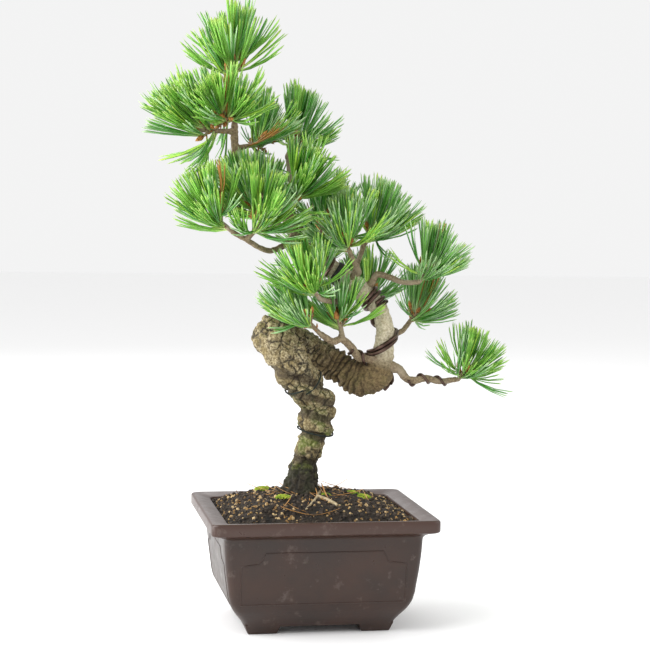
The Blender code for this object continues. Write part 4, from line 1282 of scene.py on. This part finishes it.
def buildPads():
    count = padShape["rows"]
    for name, spec in pads.items():
        first, last = spec["part"]
        rows = limbFrames(trunkLimb, [first + (last - first) * k / count for k in range(count + 1)])
        rings = []
        for k in range(padShape["steps"] + 1):
            angle = math.radians(spec["middle"] + spec["reach"] * (k / padShape["steps"] - 0.5))
            ring = []
            for sideOut in (0, 1):
                for i, (place, radius, side, up) in enumerate(rows if sideOut == 0 else rows[::-1]):
                    crown = padShape["crown"] * math.sin(math.pi * i / count) if sideOut else 0.0
                    out = gap + padShape["clearance"] + sideOut * padShape["thickness"] + crown
                    ring.append(place + around(side, up, angle) * (radius + out))
            rings.append(ring)
        bm = bmesh.new()
        addLoft(bm, rings)
        piece = bmeshObject(name.replace("pad_", "rubber_pad_"), bm, smoothAngle=40)
        piece.data.materials.append(materials["rubber"])
        finishPiece(piece, "pad_rubber", name)


buildWires()
buildStraps()
buildPads()
print("wires and pads built")

# On the soil: cushions of moss, a pale surface root, dead needles

mossShape = {
    # x, y, radius and height of each cushion
    "cushions": [(35, 1, 6.5, 2.6), (29, 6, 4.5, 1.8), (-22, -16, 5.5, 1.8), (8, -8, 4.0, 1.6),
                 (-30, 20, 6.0, 2.0)],
    "tufts": dict(density=2600000, smallest=0.0003, largest=0.00065, seed=31, material="moss"),
    "lowest": 60.0,
}
rootShape = {
    "lines": [[(6, 2), (3, -8), (1, -18), (-4, -27), (-10, -36)], [(1, -18), (8, -25), (12, -33)]],
    "lift": 0.5, "radius": 1.5, "taper": 0.25, "step": 2.0,
}
fallenShape = {"count": 34, "seed": 77, "ring": (14, 52), "slope": (-0.02, 0.10), "lift": 1.2,
               "sizes": (0.4, 0.7), "depth": 44, "length": 30, "edge": (56, 46)}
soilTree = surfaceTree([soil])


def dropOnSoil(x, y):
    hit = soilTree.ray_cast(Vector((x, y, 120)), Vector((0, 0, -1)))[0]
    return hit if hit is not None else Vector((x, y, soilShape["edgeTop"]))


def buildMoss():
    bm = bmesh.new()
    for x, y, radius, height in mossShape["cushions"]:
        centre = dropOnSoil(x, y)
        for vert in bmesh.ops.create_icosphere(bm, subdivisions=3, radius=radius)["verts"]:
            vert.co.z *= height / radius
            vert.co += centre
    bed = bmeshObject("moss_bed", bm)
    piece = scatterGrains(bed, "moss_cushions", mossShape["tufts"], mossShape["lowest"])
    bpy.data.objects.remove(bed, do_unlink=True)
    finishPiece(piece, "soil_grit")


def buildSurfaceRoot():
    paths = []
    shape = rootShape
    for line in shape["lines"]:
        limb = Limb([(*(dropOnSoil(x, y) + zAxis * shape["lift"]), shape["radius"] - shape["taper"] * i)
                     for i, (x, y) in enumerate(line)], shape["step"])
        paths.append((limb.points, limb.radii))
    piece = pathTubes("surface_root", paths, {"Sides": 10, "Lump": 0.0006, "Lump Size": 0.002,
                                              "Material": materials["root"]})
    finishPiece(piece, "pine_bark")


def dropNeedles():
    # Dead needles lie flat, inside the pot's edge
    shape = fallenShape
    rng = random.Random(shape["seed"])
    edgeX, edgeY = shape["edge"]
    footX, footY = soilShape["foot"]
    rows = []
    for k in range(shape["count"]):
        angle = rng.uniform(0, fullTurn)
        out = rng.uniform(*shape["ring"])
        y = footY + math.sin(angle) * out
        spot = dropOnSoil(footX + math.cos(angle) * out, max(-shape["depth"], min(shape["depth"], y)))
        turn = rng.uniform(0, fullTurn)
        aim = Vector((math.cos(turn), math.sin(turn), rng.uniform(*shape["slope"]))).normalized()
        if abs(spot.x + aim.x * shape["length"]) > edgeX or abs(spot.y + aim.y * shape["length"]) > edgeY:
            aim = Vector((-aim.x, -aim.y, aim.z))
        rows.append((spot + zAxis * shape["lift"], aim, zAxis, rng.uniform(*shape["sizes"])))
    single = bundleTemplate("needle_single", 3, 0.6, 5.0, count=1)
    finishPiece(pointSpray("fallen_needles", rows, single, materials["dry"]), "soil_grit")


buildMoss()
buildSurfaceRoot()
dropNeedles()
print("soil dressed")

# Floor, light and camera

def buildStage():
    bm = bmesh.new()
    bmesh.ops.create_grid(bm, x_segments=1, y_segments=1, size=6.0)
    mesh = bpy.data.meshes.new("floor")
    bm.to_mesh(mesh)
    bm.free()
    floor = newObject("floor", mesh)
    mat, tree, shader = newMaterial("studio_paper", 0.9)
    shader.inputs["Base Color"].default_value = hexColour("fbfbfb")
    mesh.materials.append(mat)
    world = bpy.data.worlds.new("studio")
    world.use_nodes = True
    world.node_tree.nodes["Background"].inputs["Color"].default_value = (1, 1, 1, 1)
    world.node_tree.nodes["Background"].inputs["Strength"].default_value = 0.9
    bpy.context.scene.world = world
    bpy.context.scene.view_settings.view_transform = "Standard"
    lamps = {
        "key": dict(place=(-1.2, -0.7, 1.2), size=1.0, watts=17),
        "side": dict(place=(-1.3, 0.15, 0.4), size=0.9, watts=14),
        "fill": dict(place=(1.3, -0.7, 0.9), size=1.2, watts=6),
        "back": dict(place=(-0.3, 1.3, 1.2), size=1.2, watts=8),
    }
    for name, spec in lamps.items():
        light = bpy.data.lights.new(name, "AREA")
        light.energy = spec["watts"]
        light.size = spec["size"]
        lamp = bpy.data.objects.new(name, light)
        lamp.location = spec["place"]
        toward = Vector((0, 0, 0.2)) - Vector(spec["place"])
        lamp.rotation_euler = toward.to_track_quat("-Z", "Y").to_euler()
        bpy.context.scene.collection.objects.link(lamp)


def buildCamera():
    view = {"place": (-0.2107, -1.132, 0.2785), "yaw": 10.58, "pitch": 3.89, "roll": 0.91, "lens": 94.43}
    yaw, pitch, roll = (math.radians(view[key]) for key in ("yaw", "pitch", "roll"))
    ahead = Vector((math.sin(yaw) * math.cos(pitch), math.cos(yaw) * math.cos(pitch), -math.sin(pitch)))
    level = Vector((math.cos(yaw), -math.sin(yaw), 0))
    above = level.cross(ahead)
    right = level * math.cos(roll) + above * math.sin(roll)
    up = above * math.cos(roll) - level * math.sin(roll)
    camera = bpy.data.objects.new("camera", bpy.data.cameras.new("camera"))
    camera.data.lens = view["lens"]
    camera.data.sensor_width = 36.0
    camera.data.clip_start = 0.05
    camera.matrix_world = Matrix((right, up, -ahead)).transposed().to_4x4()
    camera.location = view["place"]
    bpy.context.scene.collection.objects.link(camera)
    bpy.context.scene.camera = camera


buildStage()
buildCamera()

print("scene ready")
